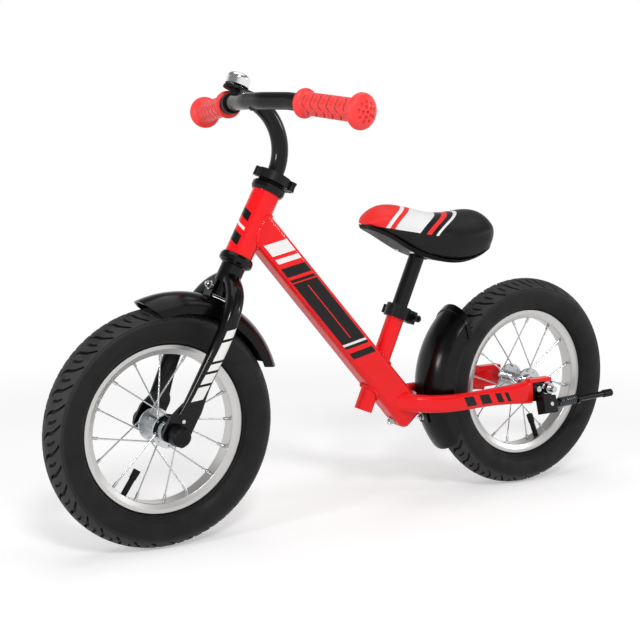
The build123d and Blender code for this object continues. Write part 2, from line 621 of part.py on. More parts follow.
for wheel, wheel_x, inner_face, left_seat, right_seat, stickout in AXLES:
    cages = [
        ball_cage(wheel_face(wheel_x, hand * ball_side), HUB_BALL_PITCH_DIAMETER, HUB_BALL_DIAMETER, HUB_BALL_COUNT)
        for hand in (1, -1)
    ]

    with BuildPart() as hub_bearings:
        with BuildSketch(wheel_section(wheel_x)):
            Polygon(
                (hub_pocket_floor + BODY_GAP, AXLE_DIAMETER / 2 + THREAD_FIT),
                (hub_pocket_floor + BODY_GAP, race_radius),
                (ball_side + HUB_BALL_DIAMETER / 2 + RUNNING_FIT, race_radius),
                (ball_side + HUB_BALL_DIAMETER / 2 + RUNNING_FIT, CONE_SHOULDER_DIAMETER / 2),
                (hub_end + BODY_GAP, CONE_SHOULDER_DIAMETER / 2),
                (hub_end + BODY_GAP, CONE_SPACER_DIAMETER / 2),
                (inner_face, CONE_SPACER_DIAMETER / 2),
                (inner_face, AXLE_DIAMETER / 2 + THREAD_FIT),
                align=None,
            )
        revolve(axis=wheel_axis(wheel_x))
        mirror(about=Plane.XZ)
        add(cages)
    save(hub_bearings, f"{wheel}_hub_bearings")

    with BuildPart() as axle:
        with BuildSketch(wheel_face(wheel_x, left_seat + nut_stack)):
            Circle(AXLE_DIAMETER / 2)
        extrude(amount=left_seat + right_seat + 2 * nut_stack)
        for hand, seat in ((1, left_seat), (-1, right_seat)):
            with BuildSketch(wheel_face(wheel_x, hand * (seat + nut_stack))):
                Circle(AXLE_END_DIAMETER / 2)
            extrude(amount=-hand * stickout)
    save(axle, f"{wheel}_axle")

    with BuildPart() as axle_nuts:
        for hand, seat in ((1, left_seat), (-1, right_seat)):
            with BuildSketch(wheel_face(wheel_x, hand * seat)):
                Circle(AXLE_WASHER_DIAMETER / 2)
                Circle(AXLE_DIAMETER / 2 + THREAD_FIT, mode=Mode.SUBTRACT)
            extrude(amount=-hand * AXLE_WASHER_THICKNESS)
            with BuildSketch(wheel_face(wheel_x, hand * (seat + AXLE_WASHER_THICKNESS))):
                RegularPolygon(AXLE_NUT_FLATS / 2, 6, major_radius=False)
                Circle(AXLE_DIAMETER / 2 + THREAD_FIT, mode=Mode.SUBTRACT)
            extrude(amount=-hand * AXLE_NUT_HEIGHT)
        if wheel == "front":
            for hand in (1, -1):
                with BuildSketch(Plane(origin=steering_point(FORK_TIP_DIAMETER * 0.6, hand * front_outside),
                                       x_dir=head_ahead, z_dir=left * hand)):
                    Circle(TAB_SCREW_DIAMETER / 2)
                extrude(amount=TAB_SCREW_HEIGHT)
    save(axle_nuts, f"{wheel}_axle_nuts")

with BuildPart() as front_axle_caps:
    cap_foot = front_outside + AXLE_WASHER_THICKNESS + SEAT_GAP
    for hand in (1, -1):
        with BuildSketch(wheel_face(front_x, hand * cap_foot)):
            Circle(AXLE_CAP_DIAMETER / 2)
        extrude(amount=-hand * AXLE_CAP_HEIGHT, taper=AXLE_CAP_TAPER)
    fillet(front_axle_caps.edges().group_by(Axis.Y)[0] + front_axle_caps.edges().group_by(Axis.Y)[-1], AXLE_CAP_ROUND)
    for hand in (1, -1):
        with BuildSketch(wheel_face(front_x, hand * cap_foot)):
            Circle(AXLE_CAP_DIAMETER / 2 - AXLE_CAP_WALL)
        extrude(amount=-hand * (AXLE_CAP_HEIGHT - AXLE_CAP_WALL), taper=2 * AXLE_CAP_TAPER, mode=Mode.SUBTRACT)
save(front_axle_caps, "front_axle_caps")

# Headset
head_top = HEAD_TUBE_HEIGHT + HEAD_TUBE_LENGTH
headset_ball_radius = HEADSET_BALL_DIAMETER / 2
headset_pocket_radius = HEADSET_BALL_PITCH_DIAMETER / 2 + headset_ball_radius + RUNNING_FIT
headset_race_radius = HEADSET_BALL_PITCH_DIAMETER / 2 - headset_ball_radius - RUNNING_FIT
ball_inset = headset_ball_radius + RUNNING_FIT
lower_ball = HEAD_TUBE_HEIGHT - CUP_HEIGHT + ball_inset + BODY_GAP
upper_ball = head_top + CUP_HEIGHT - ball_inset - BODY_GAP
crown_top = lower_ball - ball_inset - RACE_SHOULDER_HEIGHT
race_top = upper_ball + ball_inset + RACE_SHOULDER_HEIGHT

# Each row: name, face of the head tube that it seats on, direction away from the tube, ball height.
CUPS = (("headset_lower_cup", HEAD_TUBE_HEIGHT, -1, lower_ball), ("headset_upper_cup", head_top, 1, upper_ball))

for cup_name, seat, away, ball in CUPS:
    with BuildPart() as cup:
        with BuildSketch(steering_section):
            Polygon(
                (CUP_THROAT_DIAMETER / 2, seat - away * CUP_INSERT_DEPTH),
                (HEAD_TUBE_BORE / 2, seat - away * CUP_INSERT_DEPTH),
                (HEAD_TUBE_BORE / 2, seat),
                (CUP_LIP_DIAMETER / 2, seat),
                (CUP_DIAMETER / 2, seat + away * CUP_HEIGHT / 3),
                (CUP_DIAMETER / 2, seat + away * CUP_HEIGHT * 0.8),
                (CUP_LIP_DIAMETER / 2, seat + away * CUP_HEIGHT),
                (headset_pocket_radius, seat + away * CUP_HEIGHT),
                (headset_pocket_radius, ball - away * ball_inset),
                (CUP_THROAT_DIAMETER / 2, ball - away * ball_inset),
                align=None,
            )
        revolve(axis=steering_axis)
    save(cup, cup_name)

headset_cages = [
    ball_cage(steering_plane(ball), HEADSET_BALL_PITCH_DIAMETER, HEADSET_BALL_DIAMETER, HEADSET_BALL_COUNT)
    for ball in (lower_ball, upper_ball)
]

with BuildPart() as headset_races:
    for cup_name, seat, away, ball in CUPS:
        with BuildSketch(steering_section):
            Polygon(
                (STEERER_DIAMETER / 2, ball - away * headset_ball_radius / 2),
                (headset_race_radius, ball - away * headset_ball_radius / 2),
                (headset_race_radius, ball + away * ball_inset),
                (RACE_SHOULDER_DIAMETER / 2, ball + away * ball_inset),
                (RACE_SHOULDER_DIAMETER / 2, ball + away * (ball_inset + RACE_SHOULDER_HEIGHT / 2)),
                (CROWN_DIAMETER / 2, ball + away * (ball_inset + RACE_SHOULDER_HEIGHT)),
                (STEERER_DIAMETER / 2, ball + away * (ball_inset + RACE_SHOULDER_HEIGHT)),
                align=None,
            )
        revolve(axis=steering_axis)
    add(headset_cages)
save(headset_races, "headset_races")

# Fork
stem_radius = BAR_DIAMETER / 2
steerer_top = race_top + STEERER_RISE
bolt_radius = FENDER_BOLT_DIAMETER / 2

with BuildPart() as fork_steerer:
    with BuildSketch(steering_plane(CROWN_BOTTOM)):
        Circle(CROWN_DIAMETER / 2)
    extrude(amount=crown_top - CROWN_BOTTOM)
    with BuildSketch(steering_plane(crown_top)):
        Circle(STEERER_DIAMETER / 2)
    extrude(amount=steerer_top - crown_top)
    with BuildSketch(steering_plane(CROWN_BOTTOM)):
        Circle(stem_radius + SLIDE_FIT)
    extrude(amount=steerer_top - CROWN_BOTTOM, mode=Mode.SUBTRACT)
    with BuildSketch(Plane(origin=steering_point(FENDER_BOLT_HEIGHT), x_dir=left, z_dir=head_ahead)):
        Circle(bolt_radius + THREAD_FIT)
    extrude(amount=CROWN_DIAMETER, both=True, mode=Mode.SUBTRACT)
save(fork_steerer, "fork_steerer")


def fork_section_planes(hand):
    """Planes square to one fork blade, from the crown down, each with its section's sizes."""
    middles = [steering_point(row[0], hand * row[1], -row[2]) for row in FORK_SECTIONS]
    for number, (height, side, behind, depth, thickness) in enumerate(FORK_SECTIONS):
        before = middles[max(number - 1, 0)]
        after = middles[min(number + 1, len(middles) - 1)]
        yield Plane(origin=middles[number], x_dir=head_ahead, z_dir=after - before), depth, thickness


for hand, hand_name in ((1, "left"), (-1, "right")):
    with BuildPart() as fork_blade:
        for plane, depth, thickness in fork_section_planes(hand):
            with BuildSketch(plane):
                RectangleRounded(depth, thickness, FORK_CORNER_SHARE * min(depth, thickness))
        loft()
        with BuildSketch(Plane(origin=steering_point(0, hand * FORK_DROPOUT_SIDE), x_dir=head_up, z_dir=left)):
            with Locations(((FORK_TIP_HEAD - FORK_TIP_FOOT) / 2, 0)):
                RectangleRounded(FORK_TIP_HEAD + FORK_TIP_FOOT, FORK_TIP_WIDTH, FORK_TIP_CORNER)
            with Locations((FORK_TIP_LENGTH, -FORK_TIP_BACK)):
                Circle(FORK_TIP_NECK_DIAMETER / 2)
            make_hull()
        extrude(amount=FORK_DROPOUT_THICKNESS / 2, both=True)
        with BuildSketch(Plane(origin=steering_point(0, hand * FORK_DROPOUT_SIDE), x_dir=head_up, z_dir=left)):
            Circle(AXLE_DIAMETER / 2 + AXLE_SLOT_CLEARANCE)
            with Locations((-FORK_TIP_DIAMETER / 2, 0)):
                Rectangle(FORK_TIP_DIAMETER, AXLE_DIAMETER + 2 * AXLE_SLOT_CLEARANCE)
        extrude(amount=FORK_DROPOUT_THICKNESS, both=True, mode=Mode.SUBTRACT)
        with BuildSketch(steering_plane(0)):
            Circle(CROWN_DIAMETER / 2)
        extrude(amount=steerer_top, mode=Mode.SUBTRACT)
    save(fork_blade, f"fork_blade_{hand_name}")


# Frame tubes
main_down = Vector(-cos(radians(MAIN_TUBE_SLOPE)), 0, -sin(radians(MAIN_TUBE_SLOPE)))
main_top = steering_point(MAIN_TUBE_JOIN)
main_start = Plane(origin=main_top, x_dir=left, z_dir=main_down)
main_end = Plane(origin=main_top + main_down * MAIN_TUBE_LENGTH, x_dir=left, z_dir=main_down)
main_under = Vector(sin(radians(MAIN_TUBE_SLOPE)), 0, -cos(radians(MAIN_TUBE_SLOPE)))
main_bolt_point = main_top + main_down * (MAIN_TUBE_LENGTH - MAIN_BOLT_UP)
main_bolt_plane = Plane(origin=main_bolt_point, x_dir=left, z_dir=main_under)
seat_clamp_bottom = SEAT_TUBE_LENGTH - SEAT_CLAMP_OVERLAP

with BuildPart() as head_tube:
    with BuildSketch(steering_plane(HEAD_TUBE_HEIGHT)):
        Circle(HEAD_TUBE_DIAMETER / 2)
        Circle(HEAD_TUBE_BORE / 2, mode=Mode.SUBTRACT)
    extrude(amount=HEAD_TUBE_LENGTH)
save(head_tube, "head_tube")

with BuildPart() as main_tube_outside:
    with BuildSketch(main_start):
        RectangleRounded(MAIN_TUBE_WIDTH, MAIN_TUBE_DEPTH_TOP, MAIN_TUBE_CORNER)
    with BuildSketch(main_end):
        RectangleRounded(MAIN_TUBE_WIDTH, MAIN_TUBE_DEPTH_BOTTOM, MAIN_TUBE_CORNER)
    loft()
    fillet(main_tube_outside.faces().sort_by(Axis.Z)[0].edges(), MAIN_TUBE_END_ROUND)

with BuildPart() as main_tube:
    add(main_tube_outside.part)
    with BuildSketch(main_start):
        RectangleRounded(MAIN_TUBE_WIDTH - 2 * MAIN_TUBE_WALL, MAIN_TUBE_DEPTH_TOP - 2 * MAIN_TUBE_WALL,
                         MAIN_TUBE_CORNER - MAIN_TUBE_WALL)
    with BuildSketch(main_end.offset(-MAIN_TUBE_END_ROUND)):
        RectangleRounded(MAIN_TUBE_WIDTH - 2 * MAIN_TUBE_WALL, MAIN_TUBE_DEPTH_BOTTOM - 2 * MAIN_TUBE_WALL,
                         MAIN_TUBE_CORNER - MAIN_TUBE_WALL)
    loft(mode=Mode.SUBTRACT)
    with BuildSketch(steering_plane(HEAD_TUBE_HEIGHT)):
        Circle(HEAD_TUBE_DIAMETER / 2)
    extrude(amount=HEAD_TUBE_LENGTH, mode=Mode.SUBTRACT)
    with BuildSketch(seat_plane(0)):
        Circle(SEAT_TUBE_DIAMETER / 2)
    extrude(amount=SEAT_TUBE_LENGTH, mode=Mode.SUBTRACT)
    with BuildSketch(main_bolt_plane):
        Circle(FENDER_BOLT_DIAMETER / 2 + THREAD_FIT)
    extrude(amount=MAIN_TUBE_DEPTH_BOTTOM, both=True, mode=Mode.SUBTRACT)
main_tube.part = main_tube.part.solids().sort_by(SortBy.VOLUME)[-1]
save(main_tube, "main_tube")

with BuildPart() as seat_tube:
    with BuildSketch(seat_plane(0)):
        Circle(SEAT_TUBE_DIAMETER / 2)
        Circle(SEAT_POST_DIAMETER / 2 + SLIDE_FIT, mode=Mode.SUBTRACT)
    extrude(amount=SEAT_TUBE_LENGTH)
save(seat_tube, "seat_tube")


def stay_section_planes(hand):
    """Planes square to one chainstay, from the main tube back, each with its section's sizes."""
    middles = [Vector(x, hand * side, height) for x, side, height, thickness, depth in STAY_SECTIONS]
    for number, (x, side, height, thickness, depth) in enumerate(STAY_SECTIONS):
        before = middles[max(number - 1, 0)]
        after = middles[min(number + 1, len(middles) - 1)]
        along = after - before
        yield Plane(origin=middles[number], x_dir=along.cross(Vector(0, 0, 1)), z_dir=along), thickness, depth


for hand, hand_name in ((1, "left"), (-1, "right")):
    with BuildPart() as chainstay:
        for plane, thickness, depth in stay_section_planes(hand):
            with BuildSketch(plane):
                RectangleRounded(thickness, depth, STAY_CORNER_SHARE * thickness)
        loft()
        with BuildSketch(wheel_face(rear_x, hand * (DROPOUT_SIDE - DROPOUT_THICKNESS / 2))) as plate:
            Polygon(
                (DROPOUT_LENGTH - DROPOUT_TAIL, DROPOUT_TOP),
                (-DROPOUT_TAIL, DROPOUT_TOP),
                (-DROPOUT_TAIL, DROPOUT_TOP - PRONG_THICKNESS),
                (-DROPOUT_LOWER_TAIL, DROPOUT_TOP - PRONG_THICKNESS),
                (-DROPOUT_LOWER_TAIL, -DROPOUT_BOTTOM),
                (DROPOUT_LENGTH - DROPOUT_TAIL, -DROPOUT_BOTTOM),
                align=None,
            )
            fillet(plate.vertices().group_by(Axis.Y)[-1], DROPOUT_CORNER)
            fillet(plate.vertices().group_by(Axis.Y)[0], DROPOUT_CORNER)
        extrude(amount=-hand * DROPOUT_THICKNESS)
        with BuildSketch(wheel_face(rear_x, hand * (DROPOUT_SIDE - DROPOUT_THICKNESS / 2))):
            with Locations(((DROPOUT_LENGTH - 2 * DROPOUT_TAIL) / 2, DROPOUT_TOP - PRONG_LIP / 2)):
                RectangleRounded(DROPOUT_LENGTH, PRONG_LIP, 0.45 * PRONG_LIP)
        extrude(amount=-hand * PRONG_WIDTH)
        with BuildSketch(wheel_face(rear_x, hand * DROPOUT_SIDE)):
            Circle(AXLE_DIAMETER / 2 + AXLE_SLOT_CLEARANCE)
            with Locations((-DROPOUT_TAIL, 0)):
                Rectangle(2 * DROPOUT_TAIL, AXLE_DIAMETER + 2 * AXLE_SLOT_CLEARANCE)
        extrude(amount=PRONG_WIDTH, both=True, mode=Mode.SUBTRACT)
        with BuildSketch(wheel_face(rear_x, DROPOUT_SIDE)):
            with Locations((STAND_BOLT_AHEAD, 0)):
                Circle(STAND_BOLT_DIAMETER / 2 + THREAD_FIT)
        extrude(amount=DROPOUT_THICKNESS, both=True, mode=Mode.SUBTRACT)
        add(main_tube_outside.part, mode=Mode.SUBTRACT)
    chainstay.part = chainstay.part.solids().sort_by(SortBy.VOLUME)[-1]
    save(chainstay, f"chainstay_{hand_name}")


# Quick-release clamps
def clamp_collar(plane, bore, height):
    """Split collar with two ears behind it, seated on the tube that it squeezes."""
    ear_x = -(bore / 2 + CLAMP_WALL + EAR_LENGTH / 2)
    with BuildPart() as collar:
        with BuildSketch(plane):
            Circle(bore / 2 + CLAMP_WALL)
            with Locations((ear_x + CLAMP_WALL / 2, 0)):
                Rectangle(EAR_LENGTH + CLAMP_WALL, CLAMP_SLOT + 2 * EAR_THICKNESS)
            Circle(bore / 2, mode=Mode.SUBTRACT)
            with Locations((ear_x, 0)):
                Rectangle(2 * EAR_LENGTH + CLAMP_WALL, CLAMP_SLOT, mode=Mode.SUBTRACT)
        extrude(amount=height)
        with BuildSketch(skewer_plane(plane, bore, height)):
            Circle(SKEWER_DIAMETER / 2 + THREAD_FIT)
        extrude(amount=CLAMP_SLOT + 2 * EAR_THICKNESS, both=True, mode=Mode.SUBTRACT)
    return collar


def skewer_plane(plane, bore, height):
    """Plane square to a clamp's skewer, at the middle of its ears, facing left."""
    ear_x = -(bore / 2 + CLAMP_WALL + EAR_LENGTH / 2)
    return Plane(origin=plane.from_local_coords((ear_x, 0, height / 2)), x_dir=plane.x_dir, z_dir=plane.y_dir)


ear_reach = CLAMP_SLOT / 2 + EAR_THICKNESS
lever_pivot_reach = ear_reach + BODY_GAP + LEVER_CHEEK_DIAMETER / 2


def lever_plane(plane, bore, height, hand):
    """Plane square to a clamp lever's pivot, on the pivot."""
    middle = skewer_plane(plane, bore, height)
    return Plane(origin=middle.origin + middle.z_dir * hand * lever_pivot_reach, x_dir=plane.x_dir, z_dir=plane.z_dir)


def clamp_skewer(plane, bore, height, hand):
    """Skewer with an eye and a pin at the lever, and a round nut with a socket at the other end."""
    middle = skewer_plane(plane, bore, height)
    pivot = lever_plane(plane, bore, height, hand)
    pin_length = SKEWER_EYE_THICKNESS + 2 * (LEVER_SIDE_GAP + LEVER_CHEEK_THICKNESS)
    with BuildPart() as skewer:
        with BuildSketch(middle.offset(hand * lever_pivot_reach)):
            Circle(SKEWER_DIAMETER / 2)
        extrude(amount=-hand * (lever_pivot_reach + ear_reach + CLAMP_NUT_LENGTH - SOCKET_DEPTH))
        with BuildSketch(pivot):
            Circle(SKEWER_EYE_DIAMETER / 2)
        extrude(amount=SKEWER_EYE_THICKNESS / 2, both=True)
        with BuildSketch(pivot):
            Circle(LEVER_PIN_DIAMETER / 2)
        extrude(amount=pin_length / 2, both=True)
        with BuildSketch(middle.offset(-hand * ear_reach)):
            Circle(CLAMP_NUT_DIAMETER / 2)
        extrude(amount=-hand * CLAMP_NUT_LENGTH)
        with BuildSketch(middle.offset(-hand * (ear_reach + CLAMP_NUT_LENGTH - SOCKET_DEPTH))):
            RegularPolygon(SOCKET_DIAMETER / 2, 6)
        extrude(amount=-hand * SOCKET_DEPTH, mode=Mode.SUBTRACT)
    return skewer


def clamp_lever(plane, bore, height, hand, wrap):
    """Cam lever: two cheeks on the skewer's pin and an arm that wraps round the collar."""
    pivot = plane.to_local_coords(lever_plane(plane, bore, height, hand).origin)
    slot_half = SKEWER_EYE_THICKNESS / 2 + LEVER_SIDE_GAP
    lever_half = slot_half + LEVER_CHEEK_THICKNESS
    inside = bore / 2 + CLAMP_WALL + LEVER_GAP
    outside = inside + LEVER_BAND
    start = degrees(atan2(pivot.Y, pivot.X))
    sweep_angle = -hand * wrap
    tip_angle = radians(start + sweep_angle)
    tip_radius = outside - LEVER_BAND / 2 + LEVER_TIP_LIFT
    with BuildPart() as lever:
        with BuildSketch(plane.offset((height - LEVER_ARM_HEIGHT) / 2)):
            with BuildLine():
                inner_arc = CenterArc((0, 0), inside, start, sweep_angle)
                outer_arc = CenterArc((0, 0), outside, start, sweep_angle)
                Line(inner_arc @ 0, outer_arc @ 0)
                Line(inner_arc @ 1, outer_arc @ 1)
            make_face()
            with Locations((tip_radius * cos(tip_angle), tip_radius * sin(tip_angle))):
                Circle(LEVER_TIP_DIAMETER / 2)
        extrude(amount=LEVER_ARM_HEIGHT)
        with BuildSketch(plane.offset(height / 2 - lever_half)):
            with Locations((pivot.X, pivot.Y)):
                Circle(LEVER_CHEEK_DIAMETER / 2)
        extrude(amount=2 * lever_half)
        with BuildSketch(plane.offset(height / 2 - slot_half)):
            with Locations((pivot.X, pivot.Y)):
                Circle(LEVER_CHEEK_DIAMETER / 2 + BODY_GAP)
        extrude(amount=2 * slot_half, mode=Mode.SUBTRACT)
        with BuildSketch(plane.offset(height / 2)):
            with Locations((pivot.X, pivot.Y)):
                Circle(LEVER_PIN_DIAMETER / 2 + RUNNING_FIT)
        extrude(amount=lever_half, both=True, mode=Mode.SUBTRACT)
    return lever


# Each row: name, plane of the collar's foot, bore, height, side of the lever, how far the lever wraps.
CLAMPS = (
    ("handlebar_clamp", steering_plane(race_top + SEAT_GAP), STEERER_DIAMETER, CLAMP_HEIGHT, 1, BAR_LEVER_WRAP),
    ("seat_clamp", seat_plane(seat_clamp_bottom), SEAT_TUBE_DIAMETER, SEAT_CLAMP_HEIGHT, -1, SEAT_LEVER_WRAP),
)

for clamp_name, clamp_plane, bore, height, hand, wrap in CLAMPS:
    save(clamp_collar(clamp_plane, bore, height), f"{clamp_name}_collar")
    save(clamp_skewer(clamp_plane, bore, height, hand), f"{clamp_name}_skewer")
    save(clamp_lever(clamp_plane, bore, height, hand, wrap), f"{clamp_name}_lever")

# Handlebar
bend_start = steerer_top + SEAT_GAP
stem_plane = Plane(origin=steering_point(bend_start), x_dir=head_ahead, z_dir=-left)
stem_turn = radians(STEM_BEND_ANGLE)
bar_ahead = STEM_BEND_RADIUS * (1 - cos(stem_turn)) + STEM_REACH * sin(stem_turn)
bar_rise = STEM_BEND_RADIUS * sin(stem_turn) + STEM_REACH * cos(stem_turn)
bar_centre = steering_point(bend_start + bar_rise, 0, bar_ahead)


def bar_corner(hand, side, back, drop):
    """Corner of the handlebar's line, on one side."""
    return bar_centre + Vector(-back, hand * side, -drop)


bar_corners = [bar_corner(1, BAR_END_SIDE, BAR_END_BACK, BAR_END_DROP),
               bar_corner(1, BAR_BEND_SIDE, BAR_BEND_BACK, BAR_BEND_DROP),
               bar_corner(1, BAR_MIDDLE_HALF, 0, 0),
               bar_corner(-1, BAR_MIDDLE_HALF, 0, 0),
               bar_corner(-1, BAR_BEND_SIDE, BAR_BEND_BACK, BAR_BEND_DROP),
               bar_corner(-1, BAR_END_SIDE, BAR_END_BACK, BAR_END_DROP)]

with BuildPart() as bar_outside:
    with BuildLine():
        FilletPolyline(*bar_corners, radius=BAR_BEND_RADIUS)
    with BuildSketch(Plane(origin=bar_corners[0], z_dir=bar_corners[1] - bar_corners[0])):
        Circle(BAR_DIAMETER / 2)
    sweep()

with BuildPart() as handlebar_bar:
    add(bar_outside.part)
    with BuildLine():
        FilletPolyline(*bar_corners, radius=BAR_BEND_RADIUS)
    with BuildSketch(Plane(origin=bar_corners[0], z_dir=bar_corners[1] - bar_corners[0])):
        Circle(BAR_DIAMETER / 2 - BAR_WALL)
    sweep(mode=Mode.SUBTRACT)
save(handlebar_bar, "handlebar_bar")

with BuildPart() as handlebar_stem:
    with BuildLine(stem_plane):
        straight = Line((0, -STEM_INSERTION), (0, 0))
        bend = JernArc(straight @ 1, straight % 1, STEM_BEND_RADIUS, -STEM_BEND_ANGLE)
        Line(bend @ 1, (bend @ 1) + (bend % 1) * STEM_REACH)
    with BuildSketch(Plane(origin=steering_point(bend_start - STEM_INSERTION), x_dir=head_ahead, z_dir=head_up)):
        Circle(BAR_DIAMETER / 2)
        Circle(BAR_DIAMETER / 2 - BAR_WALL, mode=Mode.SUBTRACT)
    sweep()
    add(bar_outside.part, mode=Mode.SUBTRACT)
handlebar_stem.part = handlebar_stem.part.solids().sort_by(SortBy.VOLUME)[-1]
save(handlebar_stem, "handlebar_stem")

# Grips
knob_start = GRIP_LENGTH - GRIP_KNOB_LENGTH
knob_radius = GRIP_KNOB_DIAMETER / 2
grip_radius = GRIP_DIAMETER / 2
knob_waist = (knob_start + 0.27 * GRIP_KNOB_LENGTH, grip_radius + 0.3 * (knob_radius - grip_radius))
knob_edge = (knob_start + 0.42 * GRIP_KNOB_LENGTH, knob_radius)
knob_shoulder = (knob_start + 0.7 * GRIP_KNOB_LENGTH, 0.94 * knob_radius)
face_radius = GRIP_FACE_SHARE * knob_radius
crown_radius = (GRIP_FACE_CROWN ** 2 + face_radius ** 2) / (2 * GRIP_FACE_CROWN)
crown_angle = degrees(atan2(face_radius, crown_radius - GRIP_FACE_CROWN))
for hand_name, end, corner in (("left", bar_corners[0], bar_corners[1]), ("right", bar_corners[5], bar_corners[4])):
    outward = (end - corner).normalized()
    grip_start = end + outward * (GRIP_END_WALL - GRIP_LENGTH)
    with BuildPart() as grip:
        with BuildSketch(Plane(origin=grip_start, x_dir=outward, z_dir=outward.cross(Vector(0, 0, 1)))):
            with BuildLine():
                Polyline((GRIP_LENGTH - GRIP_END_WALL, 0), (GRIP_LENGTH - GRIP_END_WALL, BAR_DIAMETER / 2),
                         (0, BAR_DIAMETER / 2), (0, GRIP_FLANGE_DIAMETER / 2),
                         (GRIP_FLANGE_LENGTH, GRIP_FLANGE_DIAMETER / 2),
                         (1.5 * GRIP_FLANGE_LENGTH, grip_radius), (knob_start, grip_radius))
                neck = ThreePointArc((knob_start, grip_radius), knob_waist, knob_edge)
                ThreePointArc(neck @ 1, knob_shoulder, (GRIP_LENGTH - GRIP_FACE_CROWN, face_radius))
                CenterArc((GRIP_LENGTH - crown_radius, 0), crown_radius, 0, crown_angle)
                Line((GRIP_LENGTH, 0), (GRIP_LENGTH - GRIP_END_WALL, 0))
            make_face()
        revolve(axis=Axis(grip_start, outward))
    save(grip, f"grip_{hand_name}")

# Bell
bell_share = (BELL_SIDE - BAR_BEND_SIDE) / (BAR_END_SIDE - BAR_BEND_SIDE)
bell_foot = bar_corners[4] + (bar_corners[5] - bar_corners[4]) * bell_share
bell_along = (bar_corners[5] - bar_corners[4]).normalized()
bell_lean = Vector(-sin(radians(BELL_TILT)), 0, cos(radians(BELL_TILT)))
bell_up = (bell_lean - bell_along * bell_lean.dot(bell_along)).normalized()
bell_plane = Plane(origin=bell_foot, x_dir=bell_up.cross(bell_along), z_dir=bell_up)
bell_base_foot = BAR_DIAMETER / 2 + BELL_CLAMP_WALL + BELL_NECK_LENGTH
bell_base_top = bell_base_foot + BELL_BASE_THICKNESS
bell_rim = bell_base_top + BELL_LEVER_THICKNESS + 2 * BODY_GAP
bell_dome_top = bell_rim + BELL_DOME_HEIGHT
bell_lever_pivot = (-BELL_LEVER_PIVOT_RADIUS, 0)

with BuildPart() as bell_base:
    with BuildSketch(bell_plane.offset(BAR_DIAMETER / 2)):
        Circle(BELL_NECK_DIAMETER / 2)
    extrude(amount=bell_base_foot - BAR_DIAMETER / 2)
    with BuildSketch(Plane(origin=bell_foot, x_dir=bell_up, z_dir=bell_along)):
        Circle(BAR_DIAMETER / 2 + BELL_CLAMP_WALL)
    extrude(amount=BELL_CLAMP_WIDTH / 2, both=True)
    with BuildSketch(Plane(origin=bell_foot, x_dir=bell_up, z_dir=bell_along)):
        Circle(BAR_DIAMETER / 2)
    extrude(amount=BELL_BASE_DIAMETER / 2, both=True, mode=Mode.SUBTRACT)
    with BuildSketch(bell_plane.offset(bell_base_foot)):
        Circle(BELL_BASE_DIAMETER / 2)
    extrude(amount=BELL_BASE_THICKNESS)
    with BuildSketch(bell_plane.offset(bell_base_top)):
        Circle(BELL_POST_DIAMETER / 2)
        Circle(BELL_SCREW_SHANK / 2 + THREAD_FIT, mode=Mode.SUBTRACT)
    extrude(amount=bell_dome_top - BELL_DOME_WALL - bell_base_top)
    with BuildSketch(bell_plane.offset(bell_base_top)):
        with Locations(bell_lever_pivot):
            Circle(BELL_LEVER_PIN_DIAMETER / 2)
    extrude(amount=BELL_LEVER_THICKNESS + 2 * BODY_GAP)
save(bell_base, "bell_base")

with BuildPart() as bell_dome:
    with BuildSketch(bell_plane.offset(bell_rim)):
        Circle(BELL_DOME_DIAMETER / 2)
    extrude(amount=BELL_DOME_HEIGHT)
    fillet(bell_dome.edges().filter_by(GeomType.CIRCLE).sort_by(Axis(bell_foot, bell_up))[-1], BELL_DOME_ROUND)
    offset(amount=-BELL_DOME_WALL, openings=bell_dome.faces().sort_by(Axis(bell_foot, bell_up))[0])
    with BuildSketch(bell_plane.offset(bell_rim)):
        Circle(BELL_SCREW_SHANK / 2 + THREAD_FIT)
    extrude(amount=2 * BELL_DOME_HEIGHT, mode=Mode.SUBTRACT)
save(bell_dome, "bell_dome")

with BuildPart() as bell_screw:
    with BuildSketch(bell_plane.offset(bell_dome_top)):
        Circle(BELL_SCREW_DIAMETER / 2)
    extrude(amount=BELL_SCREW_HEIGHT)
    fillet(bell_screw.edges().sort_by(Axis(bell_foot, bell_up))[-1], BELL_SCREW_HEIGHT / 2)
    with BuildSketch(bell_plane.offset(bell_dome_top)):
        Circle(BELL_SCREW_SHANK / 2)
    extrude(amount=-BELL_DOME_HEIGHT / 2)
save(bell_screw, "bell_screw")

with BuildPart() as bell_lever:
    with BuildSketch(bell_plane.offset(bell_base_top + BODY_GAP)):
        with Locations(bell_lever_pivot):
            Circle(BELL_LEVER_WIDTH / 2)
            with Locations((-BELL_LEVER_LENGTH / 2, 0)):
                RectangleRounded(BELL_LEVER_LENGTH, BELL_LEVER_WIDTH, 0.45 * BELL_LEVER_WIDTH)
            with Locations(Location((BELL_HAMMER_REACH / 2 * cos(radians(BELL_HAMMER_ANGLE)),
                                     BELL_HAMMER_REACH / 2 * sin(radians(BELL_HAMMER_ANGLE))), BELL_HAMMER_ANGLE)):
                Rectangle(BELL_HAMMER_REACH, BELL_HAMMER_DIAMETER)
            Circle(BELL_LEVER_PIN_DIAMETER / 2 + RUNNING_FIT, mode=Mode.SUBTRACT)
    extrude(amount=BELL_LEVER_THICKNESS)
    with BuildSketch(bell_plane.offset(bell_base_top + BODY_GAP)):
        with Locations((bell_lever_pivot[0] + BELL_HAMMER_REACH * cos(radians(BELL_HAMMER_ANGLE)),
                        BELL_HAMMER_REACH * sin(radians(BELL_HAMMER_ANGLE)))):
            Circle(BELL_HAMMER_DIAMETER / 2)
    extrude(amount=BELL_HAMMER_HEIGHT)
save(bell_lever, "bell_lever")

# Seat post and saddle
saddle_datum = seat_foot + seat_up * SADDLE_HEIGHT

